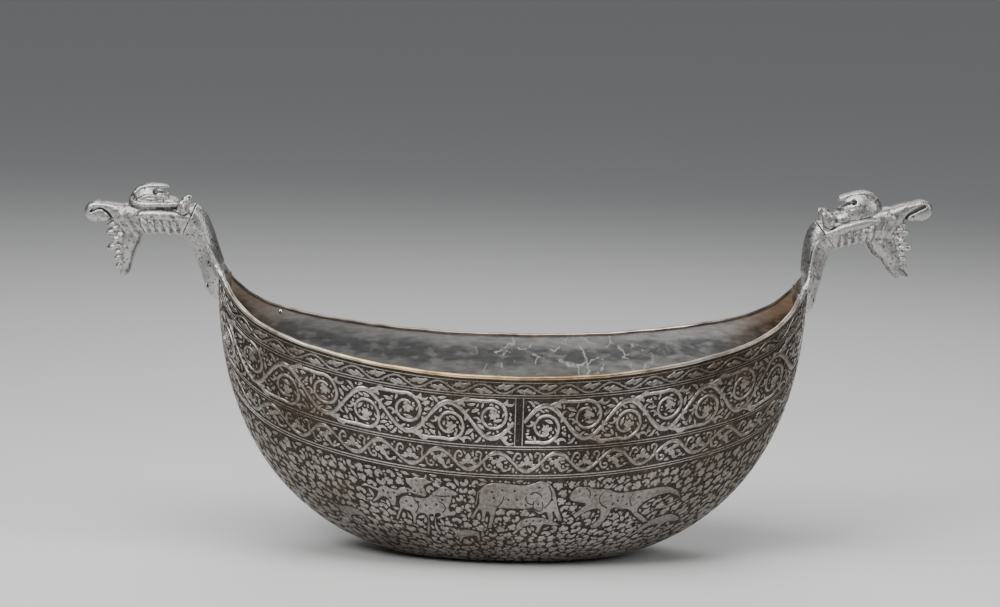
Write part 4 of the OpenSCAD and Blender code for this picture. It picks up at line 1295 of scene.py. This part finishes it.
for side_name, dragon in dragons.items():
    dome = crests[side_name]
    back_size = (9.4, 9.4, 7.0) if side_name == "left" else (10.4, 10.6, 6.8)
    crest_parts = [
        drawn_out(smooth_sections(dome["curl"])),
        lump((dome["dome"][0], 0, dome["dome"][1]), dome["size"]),
        lump((6.0, 0, 2.2), back_size)]
    grooves = []
    for across in (-1, 1):
        if side_name == "left":
            crest_parts.append(rod(
                [(-5.0, 6.0, 3.4), (1.0, 9.2, 3.8), (8, 9.8, 3.6), (18, 10.2, 3.4), (26, 9.4, 3.6),
                 (31.0, 7.0, 5.0), (32.0, 4.8, 7.4)],
                (1.0, 1.8, 2.0, 2.1, 2.1, 1.8, 1.2), across))
            for lift, fat in ((1, 1.0), (-1, 0.85)):
                lid = []
                for share in (-1.0, -0.5, 0.0, 0.5, 1.0):
                    x = 18.5 + 9.0 * share
                    z = 7.2 + lift * 2.3 * (1 - share**2) - 0.9 * abs(share)
                    lid.append((x, on_dome(dome, x, z, 0.1), z))
                crest_parts.append(rod(lid, (fat * 0.7, fat, fat, fat, fat * 0.7), across))
            eyeball = (19.0, on_dome(dome, 19.0, 7.1, -0.4), 7.1)
            crest_parts.append(lump(eyeball, (5.4, 1.2, 0.9), 0.0, across))
            fold = [(29.4, 8.8), (25.6, 11.4), (20.4, 12.2), (16.0, 11.6)]
        else:
            fold = [(33.0, 6.4), (30.6, 10.0), (26.6, 12.6), (21.4, 13.6), (16.6, 12.6)]
            under = [(x, on_dome(dome, x, 1.0, -0.1), 1.0) for x in (5.0, 12.0, 20.0, 28.0, 33.0)]
            grooves.append(rod(under, (0.9, 1.4, 1.6, 1.6, 1.2), across))
        grooves.append(rod([(x, on_dome(dome, x, z, 0.5), z) for x, z in fold], [0.9] * len(fold), across))
    eye_x, eye_z = chain_eye
    bpy.ops.mesh.primitive_cylinder_add(
        vertices=40, radius=chain_eye_radius, depth=40, location=(eye_x, 0, eye_z),
        rotation=(math.pi / 2, 0, 0))
    drill = bpy.context.object
    gape = 1.2 if side_name == "left" else 3.4
    saw_steps = ((0, 0.6), (-24, gape), (-24, -gape), (0, -0.6))
    saw = slab([(eye_x + dx, eye_z + dz) for dx, dz in saw_steps], 20)
    file_flat = slab([(-20, 0.05), (-20, -30), (60, -30), (60, 0.05)], 30)
    cutters = [*grooves, drill, saw, file_flat]
    crest = cast(side_name + "_crest_casting", crest_parts, 0.42, 2, 0.28, cutters)
    settle(crest, dragon, side_name + "_crest")

# Lower jaws
# The jaw hangs wide open, a crescent with the tongue and two rows of blunt teeth cast in front of it.
jaws = {
    "left": [
        (31.0, -11.0, -92, 7.6, 7.8), (31.2, -15.0, -90, 8.2, 8.4), (32.4, -22.0, -82, 7.7, 8.4),
        (33.6, -28.0, -80, 6.1, 7.8), (34.3, -34.0, -80, 5.0, 6.8), (35.4, -40.0, -76, 4.3, 5.6),
        (36.3, -44.0, -66, 3.6, 4.4), (38.2, -47.6, -48, 1.6, 2.4)],
    "right": [
        (28.0, -11.0, -80, 9.6, 7.8), (28.4, -16.0, -76, 11.4, 8.6), (30.0, -22.0, -66, 11.2, 8.6),
        (32.0, -28.5, -70, 8.6, 8.0), (33.2, -34.5, -76, 7.0, 7.0), (34.4, -40.5, -66, 5.4, 5.8),
        (37.2, -45.4, -46, 4.0, 4.4), (42.0, -49.0, -30, 1.2, 1.8)],
}
tongue = (
    ((39.6, 0, -13.0), (5.6, 7.0, 6.0)), ((38.4, 0, -20.5), (5.4, 7.4, 6.5)),
    ((37.6, 0, -28.5), (4.4, 6.8, 6.5)), ((37.4, 0, -36.5), (3.2, 5.6, 6.0)))
teeth = (
    ((44.6, 4.4, -11.4), (3.3, 2.9, 2.6), -25), ((44.8, 4.6, -17.4), (3.5, 3.0, 2.9), 5),
    ((43.8, 4.4, -27.4), (4.0, 3.0, 2.9), -12), ((40.2, 3.8, -34.6), (2.6, 2.6, 2.4), -20),
    ((39.6, 3.2, -40.2), (2.5, 2.3, 2.2), -20), ((42.4, 5.8, -14.4), (2.3, 2.0, 2.0), 0),
    ((41.8, 6.0, -22.0), (2.4, 1.9, 2.2), 0), ((43.4, 5.4, -24.4), (1.9, 1.7, 1.6), 0),
    ((40.0, 5.4, -31.0), (2.0, 1.8, 1.9), 0), ((43.4, 5.6, -19.9), (1.7, 1.6, 1.5), 0),
    ((38.8, 4.6, -37.2), (1.7, 1.6, 1.6), 0))
for side_name, dragon in dragons.items():
    jaw_parts = [drawn_out(smooth_sections(jaws[side_name], 2.4))]
    jaw_parts += [lump(centre, radii) for centre, radii in tongue]
    for across in (-1, 1):
        for spot, (long, wide, tall), turned in teeth:
            jaw_parts.append(lump(spot, (long * 1.25, wide * 0.9, tall * 0.85), turned, across))
    jaw = cast(side_name + "_jaw_casting", jaw_parts, 0.45, 4, 0.45)
    settle(jaw, dragon, side_name + "_lower_jaw")

# Ears
# A pair of small leaves with a raised border on the left head, and worn knobs on the right.
ear_outline = [
    (-7.0, 8.0), (-5.2, 7.2), (-3.4, 6.2), (-2.0, 4.6), (-1.5, 2.8), (-1.6, 1.0), (-2.6, -0.4),
    (-4.4, -1.4), (-6.2, -0.9), (-7.5, 0.5), (-8.0, 2.8), (-7.9, 5.6)]
knobs = (
    ((-7.0, 11.8, 8.8), 2.5), ((-2.6, 13.0, 6.8), 1.6), ((-2.7, 13.2, 2.4), 1.8), ((-6.4, 13.1, 3.4), 1.7),
    ((-5.0, 12.8, -0.4), 1.5))
for side_name, dragon in dragons.items():
    ear_parts = []
    for across in (-1, 1):
        if side_name == "left":
            border = [(x, 13.2, z) for x, z in ear_outline]
            ear_parts.append(rod(border + border[:1], [1.1] * (len(border) + 1), across))
            ear_parts.append(lump((-4.7, 12.6, 2.8), (3.5, 2.3, 5.0), -20, across))
            vein = [(-4.2, 13.6, 0.2), (-4.9, 14.2, 2.8), (-6.0, 13.8, 5.6)]
            ear_parts.append(rod(vein, (0.8, 1.2, 0.7), across))
        else:
            ear_parts.append(lump((-4.8, 11.8, 4.4), (4.9, 2.6, 6.2), -8, across))
            for spot, size in knobs:
                ear_parts.append(lump(spot, (size, size * 0.9, size), 0.0, across))
    ears = cast(side_name + "_ear_castings", ear_parts, 0.4, 4, 0.4)
    settle(ears, dragon, side_name + "_ears")

# Rivets
# Two copper rivets hold each foot through the prow. Their heads are beaten almost flush and tinned over.
rivet_apart = 5.5
rivet_below = 14.3
for side_name, dragon in dragons.items():
    rivet_parts = []
    for across in (-1, 1):
        for x, thick in ((half_l + 7.0 + 0.8 * dragon["fuller"], 0.9), (half_l - 4.4, 1.1)):
            spot = (x, rivet_apart, prow_z - rivet_below)
            rivet_parts.append(lump(spot, (thick, 2.3, 2.3), 0.0, across))
    rivets = cast(side_name + "_rivet_heads", rivet_parts, 0.3, 2, 0.25)
    settle(rivets, dragon, side_name + "_neck_rivets", False)

# Pins and plates
# The pin through each neck seam, the copper plate inside each prow and one bright rivet of a later repair
# are plain solids already: they only get their metals here.
browned_copper = Metal("browned_copper", 0.9, 0.46)
tarnish = browned_copper.noise(130, 5)
tarnish_colour = browned_copper.ramp(tarnish, [
    (0.34, (0.10, 0.085, 0.075)), (0.48, (0.21, 0.145, 0.10)), (0.60, (0.30, 0.26, 0.23)),
    (0.70, (0.40, 0.38, 0.36))])
browned_copper.finish(tarnish_colour, tarnish, 0.0006)
bright_rivet = Metal("bright_repair_rivet", 1.0, 0.24)
rubbing = bright_rivet.noise(700, 3)
rubbed_colour = bright_rivet.ramp(rubbing, [(0.40, (0.62, 0.61, 0.60)), (0.60, (0.92, 0.91, 0.90))])
bright_rivet.finish(rubbed_colour, rubbing, 0.0002)
plain_solids = [("repair_rivet", bright_rivet)]
for side_name in dragons:
    plain_solids.append((side_name + "_prow_plate", browned_copper))
    plain_solids.append((side_name + "_tenon_pin", cast_tin))
    plain_solids.append((side_name + "_tenon", cast_tin))
for node_name, metal in plain_solids:
    solid = bpy.data.objects[node_name]
    solid.data.materials.clear()
    solid.data.materials.append(metal.material)

# Floor and light
# A pale floor and broad soft lamps, as in a studio.
bpy.ops.mesh.primitive_plane_add(size=60, location=(0, 0, 0))
floor = bpy.context.object
floor.name = "floor"
floor_paint = Metal("pale_floor", 0.0, 0.7)
floor_paint.feed(floor_paint.shader.inputs["Base Color"], (0.86, 0.86, 0.85))
floor.data.materials.append(floor_paint.material)


def soft_lamp(name, place, size, power):
    lamp_data = bpy.data.lights.new(name, "AREA")
    lamp_data.shape = "RECTANGLE"
    lamp_data.size = size[0]
    lamp_data.size_y = size[1]
    lamp_data.energy = power
    lamp = bpy.data.objects.new(name, lamp_data)
    bpy.context.collection.objects.link(lamp)
    lamp.location = place
    lamp.rotation_euler = (Vector((0, 0, 0.13)) - Vector(place)).to_track_quat("-Z", "Y").to_euler()


soft_lamp("key_lamp", (-0.9, -1.2, 1.2), (0.7, 0.6), 16)
soft_lamp("top_lamp", (-0.1, -0.35, 1.05), (1.1, 0.7), 10)
soft_lamp("side_lamp", (1.2, -0.6, 0.8), (0.5, 0.6), 4)
soft_lamp("back_lamp", (0.2, 1.1, 1.3), (1.6, 0.6), 9)
world = bpy.data.worlds.new("studio")
world.use_nodes = True
world.node_tree.nodes["Background"].inputs["Color"].default_value = (0.85, 0.87, 0.90, 1)
world.node_tree.nodes["Background"].inputs["Strength"].default_value = 0.18
bpy.context.scene.world = world
